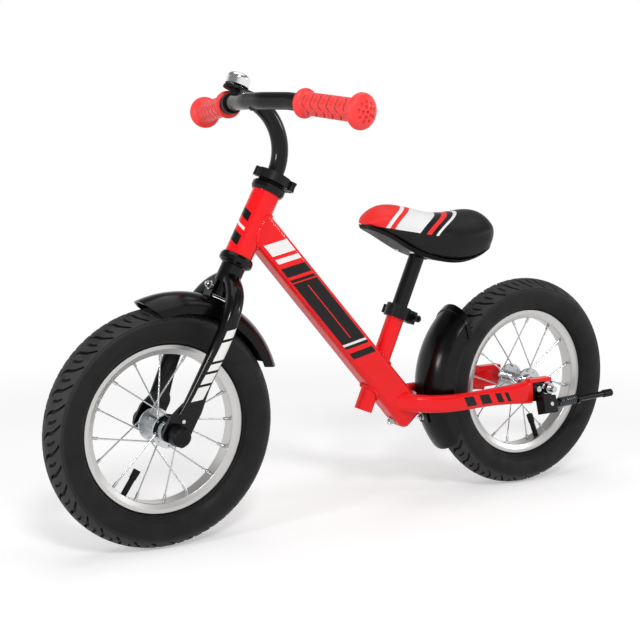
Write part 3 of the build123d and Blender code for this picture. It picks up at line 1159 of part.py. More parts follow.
with BuildPart() as seat_post:
    with BuildSketch(seat_plane(SEAT_TUBE_LENGTH - POST_INSERTION)):
        Circle(SEAT_POST_DIAMETER / 2)
        Circle(SEAT_POST_DIAMETER / 2 - POST_WALL, mode=Mode.SUBTRACT)
    extrude(amount=SADDLE_HEIGHT + SOCKET_HEIGHT - SEAT_TUBE_LENGTH + POST_INSERTION)
save(seat_post, "seat_post")


def saddle_plane(ahead):
    """Upright plane across the saddle: local x is left, local y is up."""
    return Plane(origin=saddle_datum + Vector(ahead, 0, 0), x_dir=(0, 1, 0), z_dir=(1, 0, 0))


def saddle_screws_at(lift):
    """Level plane at each saddle screw, a distance above the underside of its head."""
    for ahead, half_width, top, edge, underside in (SADDLE_SECTIONS[row] for row in SADDLE_SCREW_ROWS):
        head_top = underside - SADDLE_BASE_DEPTH + SADDLE_SCREW_SINK
        for side in (SADDLE_SCREW_SIDE, -SADDLE_SCREW_SIDE):
            yield Plane(origin=saddle_datum + Vector(ahead, side, head_top - SADDLE_SCREW_HEAD_HEIGHT + lift))


screw_head_top = SADDLE_SCREW_HEAD_HEIGHT
screw_length = SADDLE_BASE_DEPTH - SADDLE_SCREW_SINK + SADDLE_SCREW_GRIP

with BuildPart() as saddle_base:
    for ahead, half_width, top, edge, underside in SADDLE_SECTIONS[1:-1]:
        with BuildSketch(saddle_plane(ahead)):
            foot = PAD_FOOT_SHARE * half_width - BASE_EDGE_INSET
            Polygon((-foot, underside - BASE_TOP_GAP), (foot, underside - BASE_TOP_GAP),
                    (PAD_FOOT_SHARE * foot, underside - SADDLE_BASE_DEPTH),
                    (-PAD_FOOT_SHARE * foot, underside - SADDLE_BASE_DEPTH), align=None)
    loft()
    with BuildSketch(seat_plane(SADDLE_HEIGHT)):
        Circle(SOCKET_OUTER_DIAMETER / 2)
    extrude(amount=SOCKET_HEIGHT + SADDLE_BASE_DEPTH)
    with BuildSketch(seat_plane(0)):
        Circle(SEAT_POST_DIAMETER / 2)
    extrude(amount=SADDLE_HEIGHT + SOCKET_HEIGHT, mode=Mode.SUBTRACT)
    for plane in saddle_screws_at(0):
        with BuildSketch(plane):
            Circle(SADDLE_SCREW_DIAMETER / 2)
        extrude(amount=SADDLE_SCREW_HEAD_HEIGHT + screw_length, mode=Mode.SUBTRACT)
        with BuildSketch(plane.offset(screw_head_top)):
            Circle(SADDLE_SCREW_HEAD_DIAMETER / 2)
        extrude(amount=-2 * SADDLE_BASE_DEPTH, mode=Mode.SUBTRACT)
save(saddle_base, "saddle_base")

with BuildPart() as saddle_screws:
    for plane in saddle_screws_at(0):
        with BuildSketch(plane):
            Circle(SADDLE_SCREW_HEAD_DIAMETER / 2)
        extrude(amount=SADDLE_SCREW_HEAD_HEIGHT)
    for plane in saddle_screws_at(screw_head_top):
        with BuildSketch(plane):
            Circle(SADDLE_SCREW_DIAMETER / 2)
        extrude(amount=screw_length)
save(saddle_screws, "saddle_screws")

with BuildPart() as saddle_pad:
    for ahead, half_width, top, edge, underside in SADDLE_SECTIONS:
        with BuildSketch(saddle_plane(ahead)):
            foot = PAD_FOOT_SHARE * half_width
            middle = (edge + underside) / 2
            with BuildLine():
                ThreePointArc((-half_width, edge), (0, top), (half_width, edge))
                ThreePointArc((half_width, edge), (PAD_TUCK_SHARE * half_width, middle), (foot, underside))
                Line((foot, underside), (-foot, underside))
                ThreePointArc((-foot, underside), (-PAD_TUCK_SHARE * half_width, middle), (-half_width, edge))
            make_face()
    loft()
    with BuildSketch(seat_plane(0)):
        Circle(SOCKET_OUTER_DIAMETER / 2 + SEAT_GAP)
    extrude(amount=SADDLE_HEIGHT + SOCKET_HEIGHT + SADDLE_BASE_DEPTH + SEAT_GAP, mode=Mode.SUBTRACT)
    for plane in saddle_screws_at(screw_head_top):
        with BuildSketch(plane):
            Circle(SADDLE_SCREW_DIAMETER / 2)
        extrude(amount=screw_length, mode=Mode.SUBTRACT)
save(saddle_pad, "saddle_pad")


# Fenders
def arch_plane(centre, angle):
    """Plane across a fender at an angle up from straight ahead: local y is the radius."""
    return Plane(origin=centre, x_dir=left, z_dir=(sin(radians(angle)), 0, -cos(radians(angle))))


def radial_plane(centre, radius, angle):
    """Plane on a fender's radius, facing outward."""
    outward = Vector(cos(radians(angle)), 0, sin(radians(angle)))
    return Plane(origin=centre + outward * radius, x_dir=left, z_dir=outward)


def fender_outline(half_width, inset, foot):
    """Edges of the arch across a fender, moved inward and closed at a foot radius."""
    half = half_width - inset
    shoulder = FENDER_RADIUS - FENDER_SHOULDER_DEPTH
    with BuildLine() as outline:
        ThreePointArc((-half, shoulder), (0, FENDER_RADIUS - inset), (half, shoulder))
        Polyline((half, shoulder), (half, foot), (-half, foot), (-half, shoulder))
    return outline.edges()


def fender_shell(arch, low, high, proud=0.0):
    """Fender shell on an arch, between two angles up from straight ahead, its outside moved out."""
    centre, half_width, skirt_depth = arch
    foot = FENDER_RADIUS - skirt_depth
    with BuildPart() as shell:
        with BuildSketch(arch_plane(centre, high)):
            make_face(fender_outline(half_width, -proud, foot))
            make_face(fender_outline(half_width, FENDER_WALL, foot - FENDER_WALL), mode=Mode.SUBTRACT)
        revolve(axis=Axis(centre, left), revolution_arc=high - low)
    return shell.part


def fender_trim(arch, crest, skirt):
    """Wedge that sweeps back the skirts at one end of a fender."""
    centre, half_width, skirt_depth = arch
    away = FENDER_TRIM_ANGLE if crest > skirt else -FENDER_TRIM_ANGLE
    outer = FENDER_RADIUS + FENDER_TRIM_MARGIN
    inner = FENDER_RADIUS - skirt_depth - FENDER_TRIM_MARGIN
    corners = ((outer, crest), (inner, skirt), (inner, skirt + away), (outer, crest + away))
    with BuildPart() as wedge:
        with BuildSketch(Plane(origin=centre, x_dir=(1, 0, 0), z_dir=-left)):
            Polygon(*[(radius * cos(radians(angle)), radius * sin(radians(angle))) for radius, angle in corners],
                    align=None)
        extrude(amount=2 * half_width, both=True)
    return wedge.part


def fender_lip(arch, crest, skirt):
    """Proud rim along the upper end of a fender."""
    with BuildPart() as lip:
        add(fender_shell(arch, skirt - 2 * FENDER_LIP_ANGLE, crest, FENDER_LIP))
        add(fender_trim(arch, crest - FENDER_LIP_ANGLE, skirt - FENDER_LIP_ANGLE), mode=Mode.INTERSECT)
    return lip.part


def fender_bolt(plane, grip):
    """Bolt with a washer and a hexagon at each end of what it holds, which starts at the plane."""
    ends = ((plane, 1), (plane.offset(-grip), -1))
    reach = FENDER_WASHER_THICKNESS + FENDER_NUT_HEIGHT
    with BuildPart() as bolt:
        for end, away in ends:
            with BuildSketch(end):
                Circle(FENDER_WASHER_DIAMETER / 2)
            extrude(amount=away * FENDER_WASHER_THICKNESS)
            with BuildSketch(end.offset(away * FENDER_WASHER_THICKNESS)):
                RegularPolygon(FENDER_NUT_FLATS / 2, 6, major_radius=False)
            extrude(amount=away * FENDER_NUT_HEIGHT)
        with BuildSketch(plane.offset(reach + FENDER_BOLT_STICKOUT)):
            Circle(FENDER_BOLT_DIAMETER / 2)
        extrude(amount=-(grip + 2 * reach + FENDER_BOLT_STICKOUT))
    return bolt.part


front_arch = wheel_point(front_x, FRONT_FENDER_OFFSET, FRONT_FENDER_OFFSET_ANGLE, 0)
rear_arch = wheel_point(rear_x, REAR_FENDER_OFFSET, REAR_FENDER_OFFSET_ANGLE, 0)
front_shape = (front_arch, FRONT_FENDER_HALF_WIDTH, FRONT_FENDER_SKIRT_DEPTH)
rear_shape = (rear_arch, REAR_FENDER_HALF_WIDTH, REAR_FENDER_SKIRT_DEPTH)
tab_back = CROWN_DIAMETER / 2 + SEAT_GAP
tab_front = tab_back + FENDER_TAB_THICKNESS
tab_bolt_plane = Plane(origin=steering_point(FENDER_BOLT_HEIGHT, 0, tab_front), x_dir=left, z_dir=head_ahead)

with BuildPart() as front_fender:
    add(fender_shell(front_shape, FRONT_FENDER_NOSE, FRONT_FENDER_TAIL))
    with BuildSketch(Plane(origin=steering_point(0, 0, tab_back), x_dir=left, z_dir=head_ahead)):
        with Locations((0, (FENDER_TAB_FOOT + FENDER_TAB_TOP) / 2)):
            Rectangle(FENDER_TAB_WIDTH, FENDER_TAB_TOP - FENDER_TAB_FOOT)
    extrude(amount=FENDER_TAB_THICKNESS)
    with BuildSketch(tab_bolt_plane):
        Circle(FENDER_BOLT_DIAMETER / 2)
    extrude(amount=-2 * FENDER_TAB_THICKNESS, mode=Mode.SUBTRACT)
    add(fender_trim(front_shape, FRONT_FENDER_NOSE, FRONT_FENDER_NOSE_SKIRT), mode=Mode.SUBTRACT)
    add(fender_trim(front_shape, FRONT_FENDER_TAIL, FRONT_FENDER_TAIL_SKIRT), mode=Mode.SUBTRACT)
save(front_fender, "front_fender")

with BuildPart() as front_fender_bolt:
    add(fender_bolt(tab_bolt_plane, tab_front + CROWN_DIAMETER / 2))
save(front_fender_bolt, "front_fender_bolt")

strip_foot = FENDER_RADIUS + SEAT_GAP
strip_top = strip_foot + BRACKET_STRIP_THICKNESS
fender_grip = FENDER_WALL + FENDER_HOLLOW_SAG + SEAT_GAP + BRACKET_STRIP_THICKNESS

with BuildPart() as rear_fender:
    add(fender_shell(rear_shape, REAR_FENDER_LOW, REAR_FENDER_HIGH))
    add(fender_lip(rear_shape, REAR_FENDER_HIGH, REAR_FENDER_HIGH_SKIRT))
    add(fender_trim(rear_shape, REAR_FENDER_HIGH, REAR_FENDER_HIGH_SKIRT), mode=Mode.SUBTRACT)
    add(fender_trim(rear_shape, REAR_FENDER_LOW, REAR_FENDER_LOW_SKIRT), mode=Mode.SUBTRACT)
    with BuildSketch(radial_plane(rear_arch, FENDER_RADIUS, BRACKET_BOLT_ANGLE)):
        Circle(FENDER_BOLT_DIAMETER / 2)
    extrude(amount=FENDER_TRIM_MARGIN, both=True, mode=Mode.SUBTRACT)
save(rear_fender, "rear_fender")

with BuildPart() as rear_fender_bracket:
    with BuildSketch(arch_plane(rear_arch, BRACKET_HIGH)):
        with Locations((0, (strip_foot + strip_top) / 2)):
            Rectangle(BRACKET_STRIP_WIDTH, BRACKET_STRIP_THICKNESS)
    revolve(axis=Axis(rear_arch, left), revolution_arc=BRACKET_HIGH - BRACKET_LOW)
    with BuildSketch(arch_plane(rear_arch, BRACKET_TONGUE_HIGH)):
        with Locations((0, strip_foot + BRACKET_TONGUE_LENGTH / 2)):
            Rectangle(BRACKET_TONGUE_WIDTH, BRACKET_TONGUE_LENGTH)
    revolve(axis=Axis(rear_arch, left), revolution_arc=BRACKET_TONGUE_HIGH - BRACKET_TONGUE_LOW)
    with BuildSketch(radial_plane(rear_arch, strip_foot, BRACKET_BOLT_ANGLE)):
        Circle(FENDER_BOLT_DIAMETER / 2)
    extrude(amount=FENDER_TRIM_MARGIN, both=True, mode=Mode.SUBTRACT)
    add(main_tube_outside.part, mode=Mode.SUBTRACT)
rear_fender_bracket.part = rear_fender_bracket.part.solids().sort_by(SortBy.VOLUME)[-1]
save(rear_fender_bracket, "rear_fender_bracket")

main_bolt_grip = MAIN_TUBE_DEPTH_BOTTOM + 2 * SEAT_GAP
with BuildPart() as rear_fender_bolts:
    add(fender_bolt(radial_plane(rear_arch, strip_top, BRACKET_BOLT_ANGLE), fender_grip))
    add(fender_bolt(main_bolt_plane.offset(main_bolt_grip / 2), main_bolt_grip))
save(rear_fender_bolts, "rear_fender_bolts")

# Kickstand
stand_out = Vector(0, cos(radians(STAND_TILT)), sin(radians(STAND_TILT)))
stand_pivot = Vector(rear_x + STAND_PIVOT_AHEAD, STAND_PIVOT_SIDE, STAND_PIVOT_Z)
stand_plane = Plane(origin=stand_pivot, x_dir=(-1, 0, 0), z_dir=stand_out)
leg_along = stand_plane.x_dir * cos(radians(STAND_RISE)) + stand_plane.y_dir * sin(radians(STAND_RISE))
leg_plane = Plane(origin=stand_pivot, x_dir=stand_out, z_dir=leg_along)
cheek_inside = STAND_KNUCKLE_WIDTH / 2 + STAND_CHEEK_GAP
cheek_outside = cheek_inside + STAND_PLATE
bracket_inside = DROPOUT_SIDE + DROPOUT_THICKNESS / 2
stand_bolt_point = (STAND_BOLT_AHEAD, 0)

with BuildPart() as kickstand_bracket:
    with BuildSketch(wheel_face(rear_x, bracket_inside)):
        with Locations(((STAND_PLATE_AHEAD - STAND_PLATE_TAIL) / 2, (STAND_PLATE_TOP - STAND_PLATE_BOTTOM) / 2)):
            Rectangle(STAND_PLATE_AHEAD + STAND_PLATE_TAIL, STAND_PLATE_TOP + STAND_PLATE_BOTTOM)
        Circle(AXLE_DIAMETER / 2 + AXLE_SLOT_CLEARANCE, mode=Mode.SUBTRACT)
        with Locations(stand_bolt_point):
            Circle(STAND_BOLT_DIAMETER / 2 + THREAD_FIT, mode=Mode.SUBTRACT)
    extrude(amount=-STAND_PLATE)
    cheek_middle = (STAND_CHEEK_BACK - STAND_CHEEK_AHEAD) / 2
    cheek_length = STAND_CHEEK_BACK + STAND_CHEEK_AHEAD
    with BuildSketch(stand_plane.offset(cheek_inside)):
        with Locations((cheek_middle, 0)):
            RectangleRounded(cheek_length, 2 * STAND_CHEEK_HALF, STAND_CHEEK_CORNER)
    extrude(amount=STAND_PLATE)
    with BuildSketch(stand_plane.offset(-cheek_inside)):
        with Locations((cheek_middle, (STAND_CHEEK_RISE - STAND_CHEEK_HALF) / 2)):
            RectangleRounded(cheek_length, STAND_CHEEK_RISE + STAND_CHEEK_HALF, STAND_CHEEK_CORNER)
    extrude(amount=-STAND_PLATE)
    with BuildSketch(stand_plane.offset(-cheek_outside)):
        with Locations((STAND_PLATE / 2 - STAND_CHEEK_AHEAD, 0)):
            Rectangle(STAND_PLATE, 2 * STAND_CHEEK_HALF)
    extrude(amount=2 * cheek_outside)
    with BuildSketch(stand_plane.offset(-cheek_outside)):
        Circle(STAND_PIN_DIAMETER / 2)
    extrude(amount=2 * cheek_outside, mode=Mode.SUBTRACT)
save(kickstand_bracket, "kickstand_bracket")

with BuildPart() as kickstand_pivot_pin:
    with BuildSketch(stand_plane):
        Circle(STAND_PIN_DIAMETER / 2)
    extrude(amount=cheek_outside + STAND_PIN_STICKOUT, both=True)
save(kickstand_pivot_pin, "kickstand_pivot_pin")

with BuildPart() as kickstand_bolt:
    with BuildSketch(wheel_face(rear_x, bracket_inside - DROPOUT_THICKNESS)):
        with Locations(stand_bolt_point):
            Circle(STAND_BOLT_DIAMETER / 2)
    extrude(amount=-(DROPOUT_THICKNESS + STAND_PLATE))
    for side, height in ((bracket_inside + STAND_PLATE, STAND_BOLT_HEAD_HEIGHT),
                         (bracket_inside - DROPOUT_THICKNESS, -STAND_BOLT_HEAD_HEIGHT)):
        with BuildSketch(wheel_face(rear_x, side)):
            with Locations(stand_bolt_point):
                Circle(STAND_BOLT_HEAD_DIAMETER / 2)
        extrude(amount=-height)
save(kickstand_bolt, "kickstand_bolt")

spring_radius = (STAND_ROD_DIAMETER + STAND_SPRING_WIRE) / 2 + STAND_SPRING_CLEARANCE
spring_end = STAND_SPRING_START + STAND_SPRING_TURNS * STAND_SPRING_PITCH
collar_start = spring_end + STAND_SPRING_WIRE

with BuildPart() as kickstand_leg:
    with BuildSketch(leg_plane):
        Circle(STAND_ROD_DIAMETER / 2)
    extrude(amount=STAND_LENGTH)
    with BuildSketch(stand_plane):
        Circle(STAND_KNUCKLE_DIAMETER / 2)
    extrude(amount=STAND_KNUCKLE_WIDTH / 2, both=True)
    with BuildSketch(leg_plane.offset(collar_start)):
        Circle(STAND_COLLAR_DIAMETER / 2)
    extrude(amount=STAND_COLLAR_LENGTH)
    with BuildSketch(stand_plane):
        Circle(STAND_PIN_DIAMETER / 2 + RUNNING_FIT)
    extrude(amount=STAND_KNUCKLE_WIDTH, both=True, mode=Mode.SUBTRACT)
save(kickstand_leg, "kickstand_leg")

with BuildPart() as kickstand_foot:
    with BuildSketch(leg_plane.offset(STAND_LENGTH + STAND_FOOT_WALL)):
        Circle(STAND_FOOT_DIAMETER / 2)
    extrude(amount=-STAND_FOOT_LENGTH)
    fillet(kickstand_foot.edges().filter_by(GeomType.CIRCLE), STAND_FOOT_WALL / 2)
    with BuildSketch(leg_plane.offset(STAND_LENGTH)):
        Circle(STAND_ROD_DIAMETER / 2)
    extrude(amount=-STAND_FOOT_LENGTH, mode=Mode.SUBTRACT)
save(kickstand_foot, "kickstand_foot")


# Spring on the kickstand's leg
def coil_point(turns):
    """Point of the spring's middle line after a number of turns."""
    angle = 2 * pi * turns
    height = STAND_SPRING_START + STAND_SPRING_PITCH * turns
    return leg_plane.from_local_coords(Vector(spring_radius * cos(angle), spring_radius * sin(angle), height))


def coil_heading(turns):
    """Direction of the spring's middle line after a number of turns."""
    angle = 2 * pi * turns
    round_reach = 2 * pi * spring_radius
    heading = Vector(-round_reach * sin(angle), round_reach * cos(angle), STAND_SPRING_PITCH)
    return (leg_plane.x_dir * heading.X + leg_plane.y_dir * heading.Y + leg_plane.z_dir * heading.Z).normalized()


def biarc_joint(start, start_heading, end, end_heading):
    """Point where two arcs that leave along the given headings meet smoothly."""
    across = end - start
    sum_heading = start_heading + end_heading
    spread = 2 * (1 - start_heading.dot(end_heading))
    lean = across.dot(sum_heading)
    reach = (sqrt(lean ** 2 + spread * across.dot(across)) - lean) / spread
    return (start + start_heading * reach + end - end_heading * reach) / 2


with BuildPart() as kickstand_spring:
    with BuildLine() as coil:
        first = coil_point(0)
        Line(first - coil_heading(0) * STAND_SPRING_WIRE, first)
        for step in range(2 * STAND_SPRING_TURNS):
            start, end = coil_point(step / 2), coil_point((step + 1) / 2)
            joint = biarc_joint(start, coil_heading(step / 2), end, coil_heading((step + 1) / 2))
            opening = TangentArc(start, joint, tangent=coil_heading(step / 2))
            TangentArc(joint, end, tangent=opening % 1)
        Line(end, end + coil_heading(STAND_SPRING_TURNS) * STAND_SPRING_WIRE)
    with BuildSketch(Plane(origin=first - coil_heading(0) * STAND_SPRING_WIRE, z_dir=coil_heading(0))):
        Circle(STAND_SPRING_WIRE / 2)
    sweep()
save(kickstand_spring, "kickstand_spring")

# Least gap between neighbouring curls, on points along the middle line.
coil_wire = coil.wires()[0]
sample_count = 60 * STAND_SPRING_TURNS
samples = [coil_wire @ (number / sample_count) for number in range(sample_count + 1)]
half_turn = ceil(sample_count / STAND_SPRING_TURNS / 2)
least_gap = min(
    (samples[number] - samples[other]).length - STAND_SPRING_WIRE
    for number in range(len(samples))
    for other in range(number + half_turn, len(samples))
)
print(f"kickstand spring: least gap between curls {least_gap:.2f} mm")
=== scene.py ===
import json
import math

import bmesh
import bpy
from bpy.props import FloatProperty, FloatVectorProperty, IntProperty, PointerProperty
from mathutils import Matrix, Vector
from mathutils.bvhtree import BVHTree


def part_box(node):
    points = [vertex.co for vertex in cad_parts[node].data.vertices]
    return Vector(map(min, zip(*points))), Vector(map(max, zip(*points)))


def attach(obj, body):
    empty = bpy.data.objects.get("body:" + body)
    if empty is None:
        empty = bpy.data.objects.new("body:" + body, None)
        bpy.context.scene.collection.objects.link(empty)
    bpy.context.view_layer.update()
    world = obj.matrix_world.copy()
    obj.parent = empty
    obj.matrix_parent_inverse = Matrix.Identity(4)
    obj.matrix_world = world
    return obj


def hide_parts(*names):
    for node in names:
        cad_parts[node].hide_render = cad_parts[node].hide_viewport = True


bl_info = {
    "name": "Balance Bike Looks",
    "version": (1, 0, 0),
    "blender": (4, 5, 0),
    "location": "View3D > Sidebar > Balance Bike",
    "description": "Dresses the packed balance bike with tyres, grips, saddle, welds, finishes and a stage",
    "category": "Object",
}

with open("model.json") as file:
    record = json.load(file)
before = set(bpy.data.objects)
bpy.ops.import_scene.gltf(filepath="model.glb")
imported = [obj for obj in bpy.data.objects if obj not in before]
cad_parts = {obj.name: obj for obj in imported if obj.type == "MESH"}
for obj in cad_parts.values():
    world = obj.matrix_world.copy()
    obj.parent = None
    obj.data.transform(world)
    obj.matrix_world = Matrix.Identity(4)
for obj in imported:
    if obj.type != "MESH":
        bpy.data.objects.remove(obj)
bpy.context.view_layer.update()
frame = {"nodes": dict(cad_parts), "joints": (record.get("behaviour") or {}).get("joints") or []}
NODES = frame["nodes"]
JOINTS = {joint["name"]: joint for joint in frame["joints"]}

# Places on the bike, in metres, in the frame that the solids use.
MM = 0.001
LEFT = Vector((0, 1, 0))
HEAD_UP = Vector(JOINTS["steering"]["axis"])
HEAD_AHEAD = Vector((HEAD_UP.z, 0, -HEAD_UP.x))
SEAT_UP = Vector(JOINTS["seat_height"]["axis"])
FRONT_AXLE = Vector(JOINTS["front_wheel_spin"]["pos_m"])
REAR_AXLE = Vector(JOINTS["rear_wheel_spin"]["pos_m"])
STAND_PIVOT = Vector(JOINTS["kickstand_fold"]["pos_m"])
STAND_OUT = -Vector(JOINTS["kickstand_fold"]["axis"])
SEAT_FOOT = Vector((-12.3, 0, 142.0)) * MM
MAIN_TOP = FRONT_AXLE + HEAD_UP * 289.0 * MM
MAIN_SLOPE = math.radians(48.5)
MAIN_DOWN = Vector((-math.cos(MAIN_SLOPE), 0, -math.sin(MAIN_SLOPE)))
MAIN_UNDER = Vector((math.sin(MAIN_SLOPE), 0, -math.cos(MAIN_SLOPE)))
BAR_END = Vector((127.83, 205.0, 552.57)) * MM
BAR_BEND = Vector((149.33, 68.0, 566.17)) * MM
BAR_MIDDLE = Vector((159.03, 0, 566.77)) * MM
SADDLE_MIDDLE = (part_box("saddle_pad")[0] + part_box("saddle_pad")[1]) / 2

# The photograph's camera.
CAMERA_PLACE = Vector((0.9612, 1.4500, 0.5417))
CAMERA_YAW = math.radians(-121.893)
CAMERA_PITCH = math.radians(-8.860)
CAMERA_ROLL = math.radians(0.268)
CAMERA_LENS = 71.80
SENSOR = 36.0


def linear(code):
    """Linear colour with alpha from an sRGB hex code."""
    shares = [int(code[start:start + 2], 16) / 255 for start in (1, 3, 5)]
    return (*[s / 12.92 if s <= 0.04045 else ((s + 0.055) / 1.055) ** 2.4 for s in shares], 1.0)


def colour(label, use, code):
    """Colour property whose default is an sRGB hex code."""
    return FloatVectorProperty(name=label, description=use, default=linear(code), subtype="COLOR", size=4,
                               min=0.0, max=1.0)


def length(label, use, millimetres):
    """Length property whose default is given in millimetres."""
    return FloatProperty(name=label, description=use, default=millimetres * MM, unit="LENGTH", min=0.0)


class BikeColours(bpy.types.PropertyGroup):
    """Colours of the bike's finishes."""

    enamel_red: colour("Red enamel", "Frame tubes", "#FA181D")
    enamel_black: colour("Black enamel", "Fork, bar, stem and seat post", "#060607")
    transfer_white: colour("White transfer", "Light marks under the lacquer", "#F2F1EF")
    transfer_black: colour("Black transfer", "Dark marks under the lacquer", "#141313")
    grip_coral: colour("Grip rubber", "Both grips", "#F33432")
    tyre_tread: colour("Tread rubber", "Worn crown of the tyres", "#353536")
    # The side colour also serves as painted shade on the floors of the tread's grooves and sipes.
    tyre_side: colour("Sidewall rubber", "Sides of the tyres", "#0F0F10")
    rim_silver: colour("Rim alloy", "Both rims", "#C9C8C6")
    zinc: colour("Bright zinc", "Spokes, hubs and fasteners", "#C4C7C9")
    chrome: colour("Chrome", "Bell dome", "#E6E8EA")
    anodised: colour("Anodised black", "Clamps and levers", "#121213")
    moulded: colour("Moulded black", "Fenders and caps", "#080809")
    vinyl_black: colour("Black vinyl", "Saddle sides and tail", "#121213")
    vinyl_white: colour("White vinyl", "Saddle bands", "#EEEEEF")
    vinyl_red: colour("Red vinyl", "Saddle nose", "#F0302E")
    paper: colour("Floor", "Floor and backdrop", "#FFFFFF")


class BikeSizes(bpy.types.PropertyGroup):
    """Sizes of the details that the solids leave out."""

    groove_count: IntProperty(name="Grooves", description="Shoulder grooves round a tyre, each side", default=36,
                              min=8)
    groove_depth: length("Groove depth", "Depth of the tread's shoulder grooves", 3.3)
    sipe_depth: length("Sipe depth", "Depth of the short cuts between the grooves", 2.4)
    wave_depth: length("Wave depth", "Depth of the waves round a grip", 1.5)
    dimple_depth: length("Dimple depth", "Depth of the pits in a grip's end", 2.6)
    weld_radius: length("Weld bead", "Radius of the weld beads on the frame", 2.3)
    saddle_voxel: length("Saddle mesh", "Mesh size of the saddle cushion", 4.0)
    saddle_swell: length("Saddle swell", "Most that the cushion swells when it is filled", 3.0)
    spring_wire: length("Spring wire", "Wire diameter of the kickstand spring", 2.2)


# Finishes
def node(tree, kind, inputs=(), **settings):
    """Add one shader node with its settings, values and links."""
    made = tree.nodes.new(kind)
    for name, value in settings.items():
        setattr(made, name, value)
    for socket, value in dict(inputs).items():
        if isinstance(value, bpy.types.NodeSocket):
            tree.links.new(value, made.inputs[socket])
        else:
            made.inputs[socket].default_value = value
    return made


def new_finish(name, **constants):
    """Material with one shader and its even values; gives back material, tree, shader and place."""
    material = bpy.data.materials.new(name)
    material.use_nodes = True
    tree = material.node_tree
    tree.nodes.clear()
    sockets = {key.replace("_", " ").title().replace("Ior", "IOR"): value for key, value in constants.items()}
    shader = node(tree, "ShaderNodeBsdfPrincipled", sockets)
    node(tree, "ShaderNodeOutputMaterial", {"Surface": shader.outputs[0]})
    place = node(tree, "ShaderNodeTexCoord").outputs["Object"]
    return material, tree, shader, place


def speckle(tree, place, millimetres, detail=2.0):
    """Soft noise whose patches are about that many millimetres across."""
    scale = 1 / (millimetres * MM)
    return node(tree, "ShaderNodeTexNoise", {"Vector": place, "Scale": scale, "Detail": detail})


def relief(tree, shader, height, strength, millimetres):
    """Bump of a given height in millimetres from a height socket."""
    inputs = {"Height": height, "Strength": strength, "Distance": millimetres * MM}
    bump = node(tree, "ShaderNodeBump", inputs)
    tree.links.new(bump.outputs[0], shader.inputs["Normal"])


def spread(tree, socket, value, low, high):
    """Turn a 0 to 1 value into a range and drive a shader socket with it."""
    inputs = {"Value": value, "From Min": 0.3, "From Max": 0.7, "To Min": low, "To Max": high}
    ranged = node(tree, "ShaderNodeMapRange", inputs)
    tree.links.new(ranged.outputs[0], socket)


def band(tree, place, direction, middle, half):
    """1 where a point lies within half of a middle distance along a direction, and 0 elsewhere."""
    along = node(tree, "ShaderNodeVectorMath", {0: place, 1: direction}, operation="DOT_PRODUCT")
    inputs = {0: along.outputs["Value"], 1: middle, 2: half}
    return node(tree, "ShaderNodeMath", inputs, operation="COMPARE").outputs[0]


def painted(tree, place, ground, marks):
    """Colour with marks on a ground; each mark is a colour and the bands whose overlap it fills."""
    for mark, bands in marks:
        mask = None
        for direction, middle, half in bands:
            strip = band(tree, place, direction, middle, half)
            mask = strip if mask is None else node(tree, "ShaderNodeMath", {0: mask, 1: strip},
                                                   operation="MULTIPLY").outputs[0]
        ground = node(tree, "ShaderNodeMix", {0: mask, 6: ground, 7: mark}, data_type="RGBA").outputs[2]
    return ground


def darker(base, share):
    """Opaque colour at a share of its strength."""
    return [value * share for value in base[:3]] + [1.0]


def enamel(name, base, marks=()):
    """Stove enamel under clear lacquer, sprayed on steel: deep gloss with a faint orange peel."""
    material, tree, shader, place = new_finish(name, roughness=0.3, ior=1.5, specular_ior_level=0.08,
                                               coat_weight=0.35, coat_roughness=0.04)
    cloud = speckle(tree, place, 60.0)
    shade = node(tree, "ShaderNodeMix", {0: cloud.outputs[0], 6: base, 7: darker(base, 0.9)},
                 data_type="RGBA").outputs[2]
    tree.links.new(painted(tree, place, shade, marks), shader.inputs["Base Color"])
    relief(tree, shader, speckle(tree, place, 2.2).outputs[0], 0.05, 0.15)
    return material


def moulding(name, base, gloss, grain, height):
    """Injection-moulded polypropylene: even colour, soft gloss and the fine spark texture of the tool."""
    material, tree, shader, place = new_finish(name, base_color=base, ior=1.49, specular_ior_level=0.2)
    spread(tree, shader.inputs["Roughness"], speckle(tree, place, 18.0).outputs[0], gloss, gloss + 0.12)
    relief(tree, shader, speckle(tree, place, grain).outputs[0], 0.25, height)
    return material


def plated(name, base, gloss, streak):
    """Plated or turned metal: bright, with faint streaks left by the tool."""
    material, tree, shader, place = new_finish(name, base_color=base, metallic=1.0)
    spread(tree, shader.inputs["Roughness"], speckle(tree, place, streak, 4.0).outputs[0], gloss, gloss + 0.08)
    relief(tree, shader, speckle(tree, place, 0.8).outputs[0], 0.04, 0.03)
    return material


def axle_radius(tree, centred):
    """Distance from a wheel's axle, where places are centred on it."""
    flat = node(tree, "ShaderNodeVectorMath", {0: centred, 1: (1, 0, 1)}, operation="MULTIPLY")
    return node(tree, "ShaderNodeVectorMath", {0: flat.outputs[0]}, operation="LENGTH").outputs["Value"]


def wheel_alloy(name, base, axle):
    """Rolled and turned aluminium: satin, with fine rings about the axle."""
    material, tree, shader, place = new_finish(name, base_color=base, metallic=1.0, anisotropic=0.4)
    centred = node(tree, "ShaderNodeMapping", {"Vector": place, "Location": -axle}).outputs[0]
    inputs = {"W": axle_radius(tree, centred), "Scale": 1 / (0.9 * MM), "Detail": 3.0}
    rings = node(tree, "ShaderNodeTexNoise", inputs, noise_dimensions="1D")
    spread(tree, shader.inputs["Roughness"], rings.outputs[0], 0.26, 0.42)
    relief(tree, shader, rings.outputs[0], 0.12, 0.06)
    return material


def dress(material, *names):
    """Give CAD nodes a finish in place of the plain colour they were packed with."""
    for name in names:
        slots = NODES[name].data.materials
        slots.clear()
        slots.append(material)


